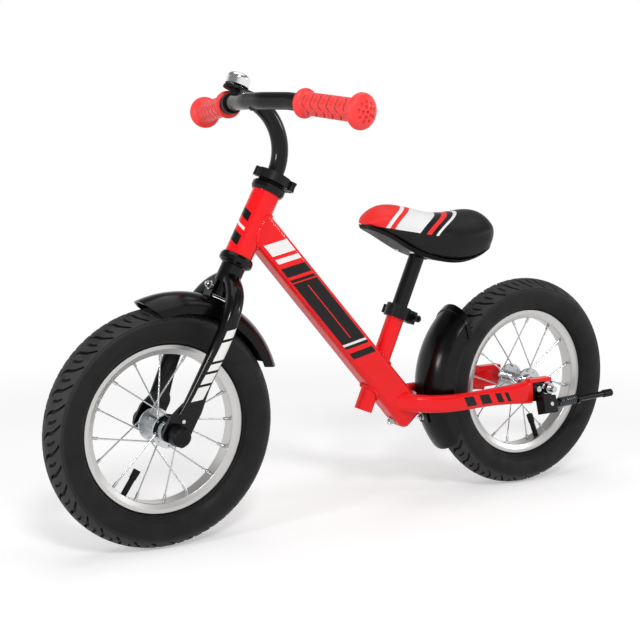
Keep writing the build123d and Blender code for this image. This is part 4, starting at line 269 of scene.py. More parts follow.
def new_piece(name, shape, body, slot, *materials, sharp=None):
    """Object at the origin from a bmesh, riding on a body."""
    mesh = bpy.data.meshes.new(name)
    shape.to_mesh(mesh)
    shape.free()
    mesh.shade_smooth()
    if sharp is not None:
        mesh.set_sharp_from_angle(angle=math.radians(sharp))
    for material in materials:
        mesh.materials.append(material)
    piece = bpy.data.objects.new(name, mesh)
    bpy.context.scene.collection.objects.link(piece)
    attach(piece, body)
    return piece


def turned(points, origin, along, out, steps, closed=False):
    """Bmesh of a profile in millimetres turned once about an axis; a layer numbers its rows."""
    shape = bmesh.new()
    row = shape.verts.layers.int.new("row")
    made = []
    for number, (reach, radius) in enumerate(points):
        vertex = shape.verts.new(origin + along * reach * MM + out * radius * MM)
        vertex[row] = number
        made.append(vertex)
    runs = [shape.edges.new(pair) for pair in zip(made, made[1:])]
    if closed:
        runs.append(shape.edges.new((made[-1], made[0])))
    bmesh.ops.spin(shape, geom=made + runs, cent=origin, axis=along, angle=2 * math.pi, steps=steps,
                   use_merge=True)
    bmesh.ops.remove_doubles(shape, verts=shape.verts, dist=0.002 * MM)
    bmesh.ops.recalc_face_normals(shape, faces=shape.faces)
    return shape, row


def smooth_step(value, low, high):
    """0 below low, 1 above high, and a smooth ramp between."""
    share = min(max((value - low) / (high - low), 0.0), 1.0)
    return share * share * (3 - 2 * share)


def between(value, rise, fall):
    """1 between a rise and a fall, each a start and an end, with smooth ramps at both."""
    return smooth_step(value, *rise) * smooth_step(value, fall[1], fall[0])


# Tyres
CROWN_ARC = 31.4
TREAD_ROWS = 18
TREAD_END = math.radians(50.0)
TYRE_RADIUS = (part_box("front_tyre")[1].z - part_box("front_tyre")[0].z) / 2 / MM
PITCH_COLUMNS = 16
# Distances in millimetres of one pitch's mesh columns from the groove's middle, up to the cut between grooves.
COLUMN_PLACES = (0.0, 1.5, 2.5, 5.2, 8.0, 10.3, 11.3, 12.2, 13.57)
GROOVE_COLUMNS = (0, 1, PITCH_COLUMNS - 1)
SIPE_COLUMNS = (7, 8, 9)
# Shares of the way from the crown to the tread's edge where a groove and the cut between start and end.
GROOVE_RISE, GROOVE_FALL = (0.06, 0.14), (0.93, 1.0)
SIPE_RISE, SIPE_FALL = (0.30, 0.36), (0.74, 0.80)
# A groove's turn in pitches from crown to edge, and how far it swings to either side as a lying S.
GROOVE_SWEEP = 1.03
GROOVE_CURL = 0.8
# Distances from the crown arc's middle, in millimetres, between which rubber goes from clean to scuffed; the
# groove and sipe floors lie below this and take the dark side colour as painted shade.
GROOVE_SHADE_TO_SCUFFED = (29.6, 31.2)
SCUFF_AND_SHADE_GAIN = 1.7
CROWN_THICKNESS = 4.5
# Side and radius in millimetres, from the tread's edge over the sidewall to the bead, then back inside.
SIDE_PROFILE = ((24.7, 143.2), (24.3, 142.3), (25.3, 141.0), (26.4, 136.8), (27.0, 131.5), (26.8, 126.3),
                (25.9, 121.6), (25.6, 121.0), (24.9, 119.2), (24.2, 118.7), (22.4, 115.6), (20.0, 113.2),
                (18.2, 112.1), (17.6, 112.3), (16.4, 112.1), (15.4, 111.2), (13.2, 110.2), (11.2, 109.4),
                (11.1, 102.2), (6.9, 101.8), (6.7, 109.0), (16.0, 113.0), (22.0, 120.5), (23.6, 129.0),
                (21.5, 139.0), (16.0, 146.6), (8.5, 150.2))


def tread_angle(share, pitch):
    """Turn of a groove, in radians, at a share of the way from the crown to the tread's edge."""
    return pitch * GROOVE_SWEEP * (share + GROOVE_CURL * math.sin(2 * math.pi * share) / (2 * math.pi))


def tyre_rubber(wheel, axle, colours):
    """Vulcanised rubber: matt, greyer where the tread is scuffed, darker and smoother on the sides, with painted
    shade darkening the groove and sipe floors.
    """
    material, tree, shader, place = new_finish(f"tyre rubber {wheel}", ior=1.52, specular_ior_level=0.25)
    centred = node(tree, "ShaderNodeMapping", {"Vector": place, "Location": -axle}).outputs[0]
    lift = node(tree, "ShaderNodeMath", {0: axle_radius(tree, centred), 1: (TYRE_RADIUS - CROWN_ARC) * MM},
                operation="SUBTRACT")
    aside = node(tree, "ShaderNodeSeparateXYZ", {0: centred})
    section = node(tree, "ShaderNodeCombineXYZ", {"X": lift.outputs[0], "Y": aside.outputs["Y"]})
    height = node(tree, "ShaderNodeVectorMath", {0: section.outputs[0]}, operation="LENGTH")
    # Painted shade: the groove and sipe floors sink inside the crown arc and take the dark side colour; the grey
    # on the tread top is real scuffing.
    wear_and_groove_shade = node(tree, "ShaderNodeMapRange", {"Value": height.outputs["Value"],
                                             "From Min": GROOVE_SHADE_TO_SCUFFED[0] * MM,
                                             "From Max": GROOVE_SHADE_TO_SCUFFED[1] * MM})
    dusty = speckle(tree, place, 25.0, 6.0)
    scuff_and_groove_shade = node(tree, "ShaderNodeMath", {0: wear_and_groove_shade.outputs[0], 1: dusty.outputs[0]}, operation="MULTIPLY")
    scuff_and_groove_shade = node(tree, "ShaderNodeMath", {0: scuff_and_groove_shade.outputs[0], 1: SCUFF_AND_SHADE_GAIN}, operation="MULTIPLY",
                 use_clamp=True)
    tint_and_shade = node(tree, "ShaderNodeMix", {0: scuff_and_groove_shade.outputs[0], 6: colours.tyre_side, 7: colours.tyre_tread},
                data_type="RGBA")
    tree.links.new(tint_and_shade.outputs[2], shader.inputs["Base Color"])
    spread(tree, shader.inputs["Roughness"], dusty.outputs[0], 0.52, 0.72)
    relief(tree, shader, speckle(tree, place, 1.2, 4.0).outputs[0], 0.35, 0.25)
    return material


class BIKE_OT_tyres(bpy.types.Operator):
    """Pneumatic tyres with a grooved tread and ringed sidewalls"""

    bl_idname = "bike.tyres"
    bl_label = "Tyres"

    def execute(self, context):
        sizes, colours = context.scene.bike_sizes, context.scene.bike_colours
        tread = [(CROWN_ARC * math.sin(turn), TYRE_RADIUS - CROWN_ARC * (1 - math.cos(turn)))
                 for turn in (TREAD_END * number / TREAD_ROWS for number in range(TREAD_ROWS + 1))]
        half = tread + list(SIDE_PROFILE)
        inside = [(0.0, TYRE_RADIUS - CROWN_THICKNESS)]
        profile = half + inside + [(-side, radius) for side, radius in reversed(half[1:])]
        edge = tread[-1][0]
        for wheel, axle in (("front", FRONT_AXLE), ("rear", REAR_AXLE)):
            material = tyre_rubber(wheel, axle, colours)
            steps = sizes.groove_count * PITCH_COLUMNS
            shape, row = turned(profile, axle, LEFT, Vector((1, 0, 0)), steps, closed=True)
            pitch = 2 * math.pi / sizes.groove_count
            scale = pitch * TYRE_RADIUS / 2 / COLUMN_PLACES[-1]
            for vertex in shape.verts:
                number = vertex[row]
                past_tread = len(tread) <= number <= len(profile) - len(tread)
                side = edge if past_tread else abs(profile[number][0])
                offset = vertex.co - axle
                angle = math.atan2(offset.z, offset.x) % (2 * math.pi)
                pitches, column = divmod(round(angle / pitch * PITCH_COLUMNS), PITCH_COLUMNS)
                folded = min(column, PITCH_COLUMNS - column)
                reach = COLUMN_PLACES[folded] * scale / TYRE_RADIUS
                reach = reach if column == folded else pitch - reach
                share = side / edge
                angle = pitches * pitch + reach + tread_angle(share, pitch)
                radius = math.hypot(offset.x, offset.z)
                if not past_tread:
                    depth = 0.0
                    if column in GROOVE_COLUMNS:
                        depth = sizes.groove_depth * between(share, GROOVE_RISE, GROOVE_FALL)
                    elif column in SIPE_COLUMNS:
                        depth = sizes.sipe_depth * between(share, SIPE_RISE, SIPE_FALL)
                    turn = math.asin(min(side / CROWN_ARC, 1.0))
                    radius -= depth * math.cos(turn)
                    offset.y -= math.copysign(depth * math.sin(turn), offset.y)
                vertex.co = axle + Vector((radius * math.cos(angle), offset.y, radius * math.sin(angle)))
            piece = new_piece(f"{wheel}_tyre_tread", shape, f"{wheel}_wheel", "tyre_rubber", material, sharp=32)
            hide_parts(f"{wheel}_tyre")
        return {"FINISHED"}


class BIKE_OT_wheels(bpy.types.Operator):
    """Finishes of the rims, spokes, hubs, axles, nuts and caps"""

    bl_idname = "bike.wheels"
    bl_label = "Wheels"

    def execute(self, context):
        colours = context.scene.bike_colours
        zinc = plated("bright zinc steel", colours.zinc, 0.16, 6.0)
        polished = plated("polished bearing steel", colours.zinc, 0.10, 4.0)
        rubber = moulding("butyl rubber", colours.tyre_side, 0.55, 1.5, 0.2)
        cap = moulding("moulded black caps", colours.moulded, 0.38, 1.2, 0.12)
        for wheel, axle in (("front", FRONT_AXLE), ("rear", REAR_AXLE)):
            dress(wheel_alloy(f"turned alloy {wheel}", colours.rim_silver, axle), f"{wheel}_rim")
            dress(zinc, f"{wheel}_spokes", f"{wheel}_hub", f"{wheel}_axle", f"{wheel}_axle_nuts")
            dress(polished, f"{wheel}_hub_bearings")
            dress(rubber, f"{wheel}_inner_tube")
            dress(cap, f"{wheel}_valve_cap")
        dress(cap, "front_axle_caps")
        return {"FINISHED"}


# Grips
GRIP_COLUMNS = 128
GRIP_LENGTH = 116.0
GRIP_BODY = (9.0, 91.0)
GRIP_RADIUS = 14.2
FACE_START = 112.0
FACE_RADIUS = 15.84
WAVE_PITCH = 15.0
GRIP_BORE = 11.15
BORE_END = 109.0
KNOB_PAST_BAR = 7.0
# Reach along the grip and radius, in millimetres, of the flange at its start and the knob at its end.
FLANGE_PROFILE = ((0.0, GRIP_BORE), (0.0, 17.2), (0.5, 18.1), (1.4, 18.5), (3.8, 18.5), (4.9, 18.0), (5.8, 16.8),
                  (6.8, 15.4), (7.8, 14.6))
KNOB_PROFILE = ((93.5, 14.3), (95.5, 14.7), (97.5, 15.6), (99.0, 16.9), (100.2, 18.7), (101.0, 20.3),
                (101.9, 21.4), (103.2, 22.0), (104.8, 22.0), (106.4, 21.7), (108.0, 21.0), (109.4, 20.0),
                (110.6, 18.6), (111.4, 17.2))
# How far, in millimetres, the waves round a grip swing along it, as two waves and five ripples a turn.
WAVE_SWING = 5.0
WAVE_RIPPLE = 2.2
WAVE_FADE = 4.0
# Distances from the bar's line, in millimetres, between which rubber goes from painted groove shade to its own
# colour, then the painted shade's share of that colour, and the reach from the bar's end past which the knob gets
# no painted shade.
GROOVE_SHADE_TO_PLAIN = (12.9, 14.0)
GROOVE_SHADE_SHARE = 0.32
KNOB_UNSHADED = -8.0
# Rings of pits in the grip's end: ring radius, count, first pit's turn in degrees and pit radius.
DIMPLE_RINGS = ((0.0, 1, 0, 1.7), (6.3, 5, 20, 2.0), (11.6, 9, 5, 1.9))


def grip_rubber(colours):
    """Moulded thermoplastic rubber: saturated, matt, with painted shade darkening the moulded grooves, and a
    little sheen.
    """
    material, tree, shader, place = new_finish("moulded grip rubber", ior=1.5, sheen_weight=0.1)
    bar_way = (BAR_END - BAR_BEND).normalized()
    tip = node(tree, "ShaderNodeVectorMath", {0: place}, operation="ABSOLUTE")
    tip = node(tree, "ShaderNodeVectorMath", {0: tip.outputs[0], 1: BAR_END}, operation="SUBTRACT").outputs[0]
    out = node(tree, "ShaderNodeVectorMath", {0: tip, 1: bar_way}, operation="CROSS_PRODUCT")
    out = node(tree, "ShaderNodeVectorMath", {0: out.outputs[0]}, operation="LENGTH")
    ahead = node(tree, "ShaderNodeVectorMath", {0: tip, 1: bar_way}, operation="DOT_PRODUCT")
    ahead = node(tree, "ShaderNodeMath", {0: ahead.outputs["Value"], 1: KNOB_UNSHADED * MM},
                 operation="GREATER_THAN")
    # Painted shade: rubber sunk below the grip's outer surface is darkened, except on the knob and end face.
    outside_groove_shade = node(tree, "ShaderNodeMapRange", {"Value": out.outputs["Value"], "From Min": GROOVE_SHADE_TO_PLAIN[0] * MM,
                                              "From Max": GROOVE_SHADE_TO_PLAIN[1] * MM})
    outside_groove_shade = node(tree, "ShaderNodeMath", {0: outside_groove_shade.outputs[0], 1: ahead.outputs[0]}, operation="MAXIMUM")
    # Colour of the painted groove shade.
    deep = darker(colours.grip_coral, GROOVE_SHADE_SHARE)
    tint_and_shade = node(tree, "ShaderNodeMix", {0: outside_groove_shade.outputs[0], 6: deep, 7: colours.grip_coral}, data_type="RGBA")
    tree.links.new(tint_and_shade.outputs[2], shader.inputs["Base Color"])
    spread(tree, shader.inputs["Roughness"], speckle(tree, place, 9.0).outputs[0], 0.42, 0.58)
    relief(tree, shader, speckle(tree, place, 0.9).outputs[0], 0.3, 0.12)
    return material


class BIKE_OT_grips(bpy.types.Operator):
    """Rubber grips with waves round the hand and pits in the safety knob"""

    bl_idname = "bike.grips"
    bl_label = "Grips"

    def execute(self, context):
        sizes, colours = context.scene.bike_sizes, context.scene.bike_colours
        material = grip_rubber(colours)
        first, last = GRIP_BODY
        body = [(first + number, GRIP_RADIUS) for number in range(int(last - first) + 1)]
        crown = (GRIP_LENGTH - FACE_START) / FACE_RADIUS ** 2
        face = [(GRIP_LENGTH - crown * radius ** 2, radius)
                for radius in (FACE_RADIUS * (1 - number / 24) for number in range(25))]
        inside = [(BORE_END, 0.0), (BORE_END, GRIP_BORE)]
        profile = [*FLANGE_PROFILE, *body, *KNOB_PROFILE, *face, *inside]
        for hand, label in ((1, "left"), (-1, "right")):
            mirror = Vector((1, hand, 1))
            end, bend = BAR_END * mirror, BAR_BEND * mirror
            along = (end - bend).normalized()
            start = end + along * (KNOB_PAST_BAR - GRIP_LENGTH) * MM
            up = (Vector((0, 0, 1)) - along * along.z).normalized()
            across = along.cross(up)
            shape = turned(profile, start, along, up, GRIP_COLUMNS, closed=True)[0]
            for vertex in shape.verts:
                offset = vertex.co - start
                reach = offset.dot(along) / MM
                out = offset - along * reach * MM
                radius = out.length / MM
                angle = math.atan2(out.dot(across), out.dot(up))
                if radius < 13.0 and reach < FACE_START:
                    continue
                if first <= reach <= last and radius < GRIP_RADIUS + 0.2:
                    swing = reach + WAVE_SWING * math.sin(2 * angle * hand) + WAVE_RIPPLE * math.sin(5 * angle)
                    dash = abs((swing / WAVE_PITCH) % 1.0 - 0.5) * WAVE_PITCH
                    line = WAVE_PITCH / 2 - dash
                    ends = between(reach, (first, first + WAVE_FADE), (last - WAVE_FADE, last))
                    dashes = smooth_step(math.sin(7 * angle), 0.1, 0.5)
                    cut = smooth_step(line, 1.5, 0.5) + smooth_step(dash, 1.2, 0.4) * dashes
                    vertex.co -= out.normalized() * sizes.wave_depth * min(cut, 1.0) * ends
                elif reach >= FACE_START - 0.2:
                    for ring, count, first_turn, pit in DIMPLE_RINGS:
                        for number in range(count):
                            turn = math.radians(first_turn + 360 * number / count)
                            spot = (up * math.cos(turn) + across * math.sin(turn)) * ring * MM
                            near = (out - spot).length / MM
                            vertex.co -= along * sizes.dimple_depth * smooth_step(near, pit + 0.4, pit - 0.5)
            piece = new_piece(f"grip_{label}_rubber", shape, "handlebar", "grip_rubber", material, sharp=50)
            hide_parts(f"grip_{label}")
        return {"FINISHED"}


# Saddle
PAD_FRAMES = 20
PAD_PRESSURE = 4.0
# How far a face must look down for the cloth to hold it to the base: from free to fully held.
HELD_SLOPE = (0.35, 0.75)
# Printed bands from the first to the last laid on: colour, middle and half width along the saddle, in millimetres.
SADDLE_BANDS = (("vinyl_white", 46, 40), ("vinyl_red", 95, 38), ("vinyl_white", 71, 4), ("vinyl_red", -12, 5),
                ("vinyl_white", -30, 3))
# The bands lean with height and bow back towards the sides, down to a sloped hem.
BAND_LEAN = 0.9
BAND_BOW = 16.0
HEM_SLOPE = 0.17
HEM_HEIGHT = -6.0


def swollen(source, voxel, swell):
    """Mesh of a pad copied from a CAD node, remeshed, shrunk a little and blown up by cloth pressure."""
    scene = bpy.context.scene
    shape = bmesh.new()
    shape.from_mesh(source.data)
    bmesh.ops.remove_doubles(shape, verts=shape.verts, dist=0.02 * MM)
    mesh = bpy.data.meshes.new("pad_start")
    shape.to_mesh(mesh)
    shape.free()
    pad = bpy.data.objects.new("pad_start", mesh)
    scene.collection.objects.link(pad)
    remesh = pad.modifiers.new("Remesh", "REMESH")
    remesh.mode = "VOXEL"
    remesh.voxel_size = voxel
    smooth = pad.modifiers.new("Smooth", "SMOOTH")
    smooth.factor = 0.5
    smooth.iterations = 6
    pad.data = bpy.data.meshes.new_from_object(pad.evaluated_get(bpy.context.evaluated_depsgraph_get()))
    pad.modifiers.clear()
    normals = [vertex.normal.copy() for vertex in pad.data.vertices]
    held = pad.vertex_groups.new(name="held")
    for vertex, normal in zip(pad.data.vertices, normals):
        grip = smooth_step(-normal.z, *HELD_SLOPE)
        held.add([vertex.index], grip, "REPLACE")
        vertex.co = vertex.co - normal * swell * 0.5 * (1 - grip)
    shrunk = [vertex.co.copy() for vertex in pad.data.vertices]
    cloth = pad.modifiers.new("Cloth", "CLOTH")
    cloth.settings.use_pressure = True
    cloth.settings.uniform_pressure_force = PAD_PRESSURE
    cloth.settings.vertex_group_mass = "held"
    cloth.settings.effector_weights.gravity = 0.0
    cloth.settings.quality = 6
    cloth.point_cache.frame_start = 1
    cloth.point_cache.frame_end = PAD_FRAMES
    for number in range(1, PAD_FRAMES + 1):
        scene.frame_set(number)
    blown = pad.evaluated_get(bpy.context.evaluated_depsgraph_get()).to_mesh()
    moved = [vertex.co.copy() for vertex in blown.vertices]
    pad.modifiers.clear()
    scene.frame_set(1)
    for vertex, before, after in zip(pad.data.vertices, shrunk, moved):
        step = after - before
        if step.length > swell:
            step *= swell / step.length
        vertex.co = before + step
    return pad


def saddle_vinyl(colours):
    """Printed vinyl stretched over foam: soft sheen, fine leather grain, crisp printed edges."""
    material, tree, shader, place = new_finish("printed saddle vinyl", ior=1.52, specular_ior_level=0.2)
    centred = node(tree, "ShaderNodeMapping", {"Vector": place, "Location": -SADDLE_MIDDLE}).outputs[0]
    axes = node(tree, "ShaderNodeSeparateXYZ", {0: centred})
    side = node(tree, "ShaderNodeMath", {0: axes.outputs["Y"]}, operation="ABSOLUTE").outputs[0]
    square = node(tree, "ShaderNodeMath", {0: side, 1: 2.0}, operation="POWER").outputs[0]
    lean = node(tree, "ShaderNodeMath", {0: axes.outputs["Z"], 1: BAND_LEAN}, operation="MULTIPLY").outputs[0]
    ahead = node(tree, "ShaderNodeMath", {0: axes.outputs["X"], 1: lean}, operation="ADD").outputs[0]
    swept = node(tree, "ShaderNodeMath", {0: square, 1: -BAND_BOW, 2: ahead}, operation="MULTIPLY_ADD").outputs[0]
    slope = node(tree, "ShaderNodeMath", {0: axes.outputs["X"], 1: -HEM_SLOPE, 2: axes.outputs["Z"]},
                 operation="MULTIPLY_ADD").outputs[0]
    above = node(tree, "ShaderNodeMath", {0: slope, 1: HEM_HEIGHT * MM}, operation="GREATER_THAN").outputs[0]
    ground = colours.vinyl_black
    for mark, middle, half in SADDLE_BANDS:
        inputs = {0: swept, 1: middle * MM, 2: half * MM}
        strip = node(tree, "ShaderNodeMath", inputs, operation="COMPARE").outputs[0]
        strip = node(tree, "ShaderNodeMath", {0: strip, 1: above}, operation="MULTIPLY").outputs[0]
        ground = node(tree, "ShaderNodeMix", {0: strip, 6: ground, 7: getattr(colours, mark)},
                      data_type="RGBA").outputs[2]
    tree.links.new(ground, shader.inputs["Base Color"])
    grain = node(tree, "ShaderNodeTexVoronoi", {"Vector": place, "Scale": 1 / (1.6 * MM)}, feature="SMOOTH_F1")
    spread(tree, shader.inputs["Roughness"], speckle(tree, place, 22.0).outputs[0], 0.38, 0.52)
    relief(tree, shader, grain.outputs["Distance"], 0.12, 0.25)
    return material


class BIKE_OT_saddle(bpy.types.Operator):
    """Foam saddle in printed vinyl, on its plastic base"""

    bl_idname = "bike.saddle"
    bl_label = "Saddle"

    def execute(self, context):
        sizes, colours = context.scene.bike_sizes, context.scene.bike_colours
        material = saddle_vinyl(colours)
        pad = swollen(NODES["saddle_pad"], sizes.saddle_voxel, sizes.saddle_swell)
        shape = bmesh.new()
        shape.from_mesh(pad.data)
        bpy.data.objects.remove(pad)
        bmesh.ops.smooth_vert(shape, verts=shape.verts, factor=0.5, use_axis_x=True, use_axis_y=True,
                              use_axis_z=True)
        bmesh.ops.recalc_face_normals(shape, faces=shape.faces)
        piece = new_piece("saddle_cushion", shape, "seat", "saddle_cover", material)
        finer = piece.modifiers.new("Subdivision", "SUBSURF")
        finer.levels = finer.render_levels = 1
        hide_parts("saddle_pad")
        dress(moulding("moulded saddle base", colours.moulded, 0.42, 1.2, 0.15), "saddle_base")
        dress(plated("bright screws", colours.zinc, 0.2, 5.0), "saddle_screws")
        return {"FINISHED"}


# Frame, fork, bar and post
class BIKE_OT_enamel(bpy.types.Operator):
    """Enamelled frame, fork, bar and post with transfers under the lacquer"""

    bl_idname = "bike.enamel"
    bl_label = "Enamel"

    def execute(self, context):
        colours = context.scene.bike_colours
        red, dark = list(colours.enamel_red), list(colours.enamel_black)
        black, white = list(colours.transfer_black), list(colours.transfer_white)
        main_across = MAIN_TOP.dot(MAIN_UNDER)
        slant = MAIN_DOWN + MAIN_UNDER * 0.55
        main_slant = MAIN_TOP.dot(slant)

        def on_tube(mark, start, stop, top, foot):
            """Slanted block on the main tube's sides, in millimetres along and across it."""
            return mark, ((slant, main_slant + (start + stop) / 2 * MM, (stop - start) / 2 * MM),
                          (MAIN_UNDER, main_across + (top + foot) / 2 * MM, (foot - top) / 2 * MM))

        main_marks = [on_tube(white, 34, 54, -16, 15), on_tube(white, 60, 68, -16, 15),
                      on_tube(black, 76, 250, -16, 17), on_tube(red, 92, 97, -16, 17),
                      on_tube(red, 102, 104, -16, 17), on_tube(white, 222, 226, -16, 17),
                      on_tube(red, 231, 239, -16, 17),
                      on_tube(red, 112, 214, 0.6, 2.0)]
        dress(enamel("red enamel main tube", red, main_marks), "main_tube")

        head_low = FRONT_AXLE.dot(HEAD_UP)
        head_slant = HEAD_UP + LEFT * 0.45
        front = (HEAD_AHEAD, FRONT_AXLE.dot(HEAD_AHEAD) + 20 * MM, 18 * MM)
        head_marks = [(black, ((head_slant, head_low + place * MM, half * MM), (LEFT, 0.0, 12 * MM), front))
                      for place, half in ((263, 7), (296, 6))]
        head_marks.append((white, ((head_slant, head_low + 279.5 * MM, 2 * MM), (LEFT, 0.0, 12 * MM), front)))
        dress(enamel("red enamel head tube", red, head_marks), "head_tube")

        stay_slant = Vector((1, 0, -0.5))
        stay_height = (Vector((0, 0, 1)), 149 * MM, 7 * MM)
        stay_marks = [(black, ((stay_slant, place * MM, half * MM), stay_height))
                      for place, half in ((-233, 9), (-261, 9), (-285, 5), (-299, 3))]
        for label, hand in (("left", 1), ("right", -1)):
            outer = (LEFT, hand * 64 * MM, 12 * MM)
            marks = [(mark, (*bands, outer)) for mark, bands in stay_marks]
            dress(enamel(f"red enamel stay {label}", red, marks), f"chainstay_{label}")
        dress(enamel("red enamel seat tube", red), "seat_tube")

        fork_slant = HEAD_UP + HEAD_AHEAD * 0.7
        fork_low = FRONT_AXLE.dot(fork_slant)
        ahead = (HEAD_AHEAD, FRONT_AXLE.dot(HEAD_AHEAD) - 1 * MM, 6.5 * MM)
        for label, hand in (("left", 1), ("right", -1)):
            outer = (LEFT, hand * 62 * MM, 9 * MM)
            marks = [(white, ((fork_slant, fork_low + place * MM, half * MM), ahead, outer))
                     for place, half in ((58, 10), (79, 7), (95, 5), (117, 13), (140, 6))]
            dress(enamel(f"black enamel blade {label}", dark, marks), f"fork_blade_{label}")
        dress(enamel("black enamel", dark), "fork_steerer", "handlebar_bar", "handlebar_stem", "seat_post",
              "headset_lower_cup", "headset_upper_cup", "headset_races", "kickstand_bracket", "kickstand_leg",
              "rear_fender_bracket")
        return {"FINISHED"}


# Weld beads
WELD_POINTS = 144
WELD_RIPPLE = 0.14
# Half sizes and radii, in millimetres, of the rings that the beads follow round the tubes.
MAIN_HALF_WIDTH = 18.0
MAIN_HALF_DEPTH = 21.0
MAIN_ROUNDING = 5
SEAT_RING = 14.0
STEM_RING = 11.1
STEM_LEAN = math.radians(80.0)


def landing(name, starts, way):
    """Points where rays from the starts meet a CAD node; a ray that misses gives none."""
    mesh = NODES[name].data
    tree = BVHTree.FromPolygons([v.co for v in mesh.vertices], [p.vertices for p in mesh.polygons])
    hits = [tree.ray_cast(start, way)[0] for start in starts]
    return [hit for hit in hits if hit is not None]


class BIKE_OT_welds(bpy.types.Operator):
    """Rippled weld beads where the tubes meet, painted over"""

    bl_idname = "bike.welds"
    bl_label = "Weld beads"

    def execute(self, context):
        sizes, colours = context.scene.bike_sizes, context.scene.bike_colours
        red = enamel("red enamel over welds", list(colours.enamel_red))
        black = enamel("black enamel over welds", list(colours.enamel_black))
        turns = [2 * math.pi * number / WELD_POINTS for number in range(WELD_POINTS)]
        seat_ahead = Vector((SEAT_UP.z, 0, -SEAT_UP.x))
        seat_ring = [(seat_ahead * math.cos(turn) + LEFT * math.sin(turn)) * SEAT_RING * MM for turn in turns]
        main_ring = []
        for turn in turns:
            c, s = math.cos(turn), math.sin(turn)
            reach = (abs(c) ** MAIN_ROUNDING + abs(s) ** MAIN_ROUNDING) ** (-1 / MAIN_ROUNDING) * MM
            main_ring.append(LEFT * MAIN_HALF_WIDTH * c * reach + MAIN_UNDER * MAIN_HALF_DEPTH * s * reach)
        stem_way = HEAD_UP * math.cos(STEM_LEAN) + HEAD_AHEAD * math.sin(STEM_LEAN)
        stem_up = stem_way.cross(LEFT)
        stem_ring = [(LEFT * math.cos(turn) + stem_up * math.sin(turn)) * STEM_RING * MM for turn in turns]
        loops = (
            ("weld_seat_tube_top", SEAT_FOOT + SEAT_UP * 0.13, seat_ring, "main_tube", -SEAT_UP,
             "frame", "frame_paint", red, 1.0),
            ("weld_seat_tube_foot", SEAT_FOOT - SEAT_UP * 0.05, seat_ring, "main_tube", SEAT_UP,
             "frame", "frame_paint", red, 1.0),
            ("weld_head_tube", MAIN_TOP + MAIN_DOWN * 0.06, main_ring, "head_tube", -MAIN_DOWN,
             "frame", "frame_paint", red, 1.1),
            ("weld_handlebar", BAR_MIDDLE - stem_way * 0.03, stem_ring, "handlebar_bar", stem_way,
             "handlebar", "black_paint", black, 0.7),
        )
        for name, middle, ring, target, way, body, slot, material, share in loops:
            spots = landing(target, [middle + spot for spot in ring], way)
            if len(spots) < WELD_POINTS // 2:
                raise RuntimeError(f"{name}: too few rays meet {target}")
            line = bpy.data.curves.new(name, "CURVE")
            line.dimensions = "3D"
            line.bevel_depth = sizes.weld_radius * share
            line.bevel_resolution = 3
            run = line.splines.new("POLY")
            run.points.add(len(spots) - 1)
            run.use_cyclic_u = True
            for number, spot in enumerate(spots):
                run.points[number].co = (*spot, 1.0)
                run.points[number].radius = 1.0 + WELD_RIPPLE * math.sin(number * 2 * math.pi / 4)
            carrier = bpy.data.objects.new(name + "_line", line)
            context.scene.collection.objects.link(carrier)
            made = bpy.data.meshes.new_from_object(carrier.evaluated_get(context.evaluated_depsgraph_get()))
            bpy.data.objects.remove(carrier)
            shape = bmesh.new()
            shape.from_mesh(made)
            bmesh.ops.recalc_face_normals(shape, faces=shape.faces)
            new_piece(name, shape, body, slot, material)
        return {"FINISHED"}


# Kickstand spring
SPRING_START = 20.0
SPRING_TURNS = 9
SPRING_PITCH = 3.7
SPRING_RADIUS = 6.0
LEG_RISE = math.radians(2.0)


class BIKE_OT_spring(bpy.types.Operator):
    """Coil spring on the kickstand's leg"""

    bl_idname = "bike.spring"
    bl_label = "Kickstand spring"

    def execute(self, context):
        sizes, colours = context.scene.bike_sizes, context.scene.bike_colours
        # Black-oxide spring wire: dark, slightly oily gloss.
        material = plated("black oxide wire", linear("#5A5B5E"), 0.26, 5.0)
        back = Vector((-1, 0, 0))
        along = back * math.cos(LEG_RISE) + STAND_OUT.cross(back) * math.sin(LEG_RISE)
        shape = bmesh.new()
        centre = STAND_PIVOT + along * SPRING_START * MM + STAND_OUT * SPRING_RADIUS * MM
        lie = Matrix((STAND_OUT, along, STAND_OUT.cross(along))).transposed().to_4x4()
        ring = bmesh.ops.create_circle(shape, cap_ends=False, radius=sizes.spring_wire / 2, segments=14,
                                       matrix=Matrix.Translation(centre) @ lie)["verts"]
        steps = SPRING_TURNS * 40
        bmesh.ops.spin(shape, geom=ring + shape.edges[:], cent=STAND_PIVOT, axis=along,
                       angle=2 * math.pi * SPRING_TURNS, steps=steps,
                       dvec=along * SPRING_PITCH * SPRING_TURNS * MM / steps)
        bmesh.ops.holes_fill(shape, edges=[edge for edge in shape.edges if edge.is_boundary])
        bmesh.ops.recalc_face_normals(shape, faces=shape.faces)
        piece = new_piece("kickstand_coil", shape, "kickstand", "spring_steel", material, sharp=60)
        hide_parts("kickstand_spring")
        return {"FINISHED"}


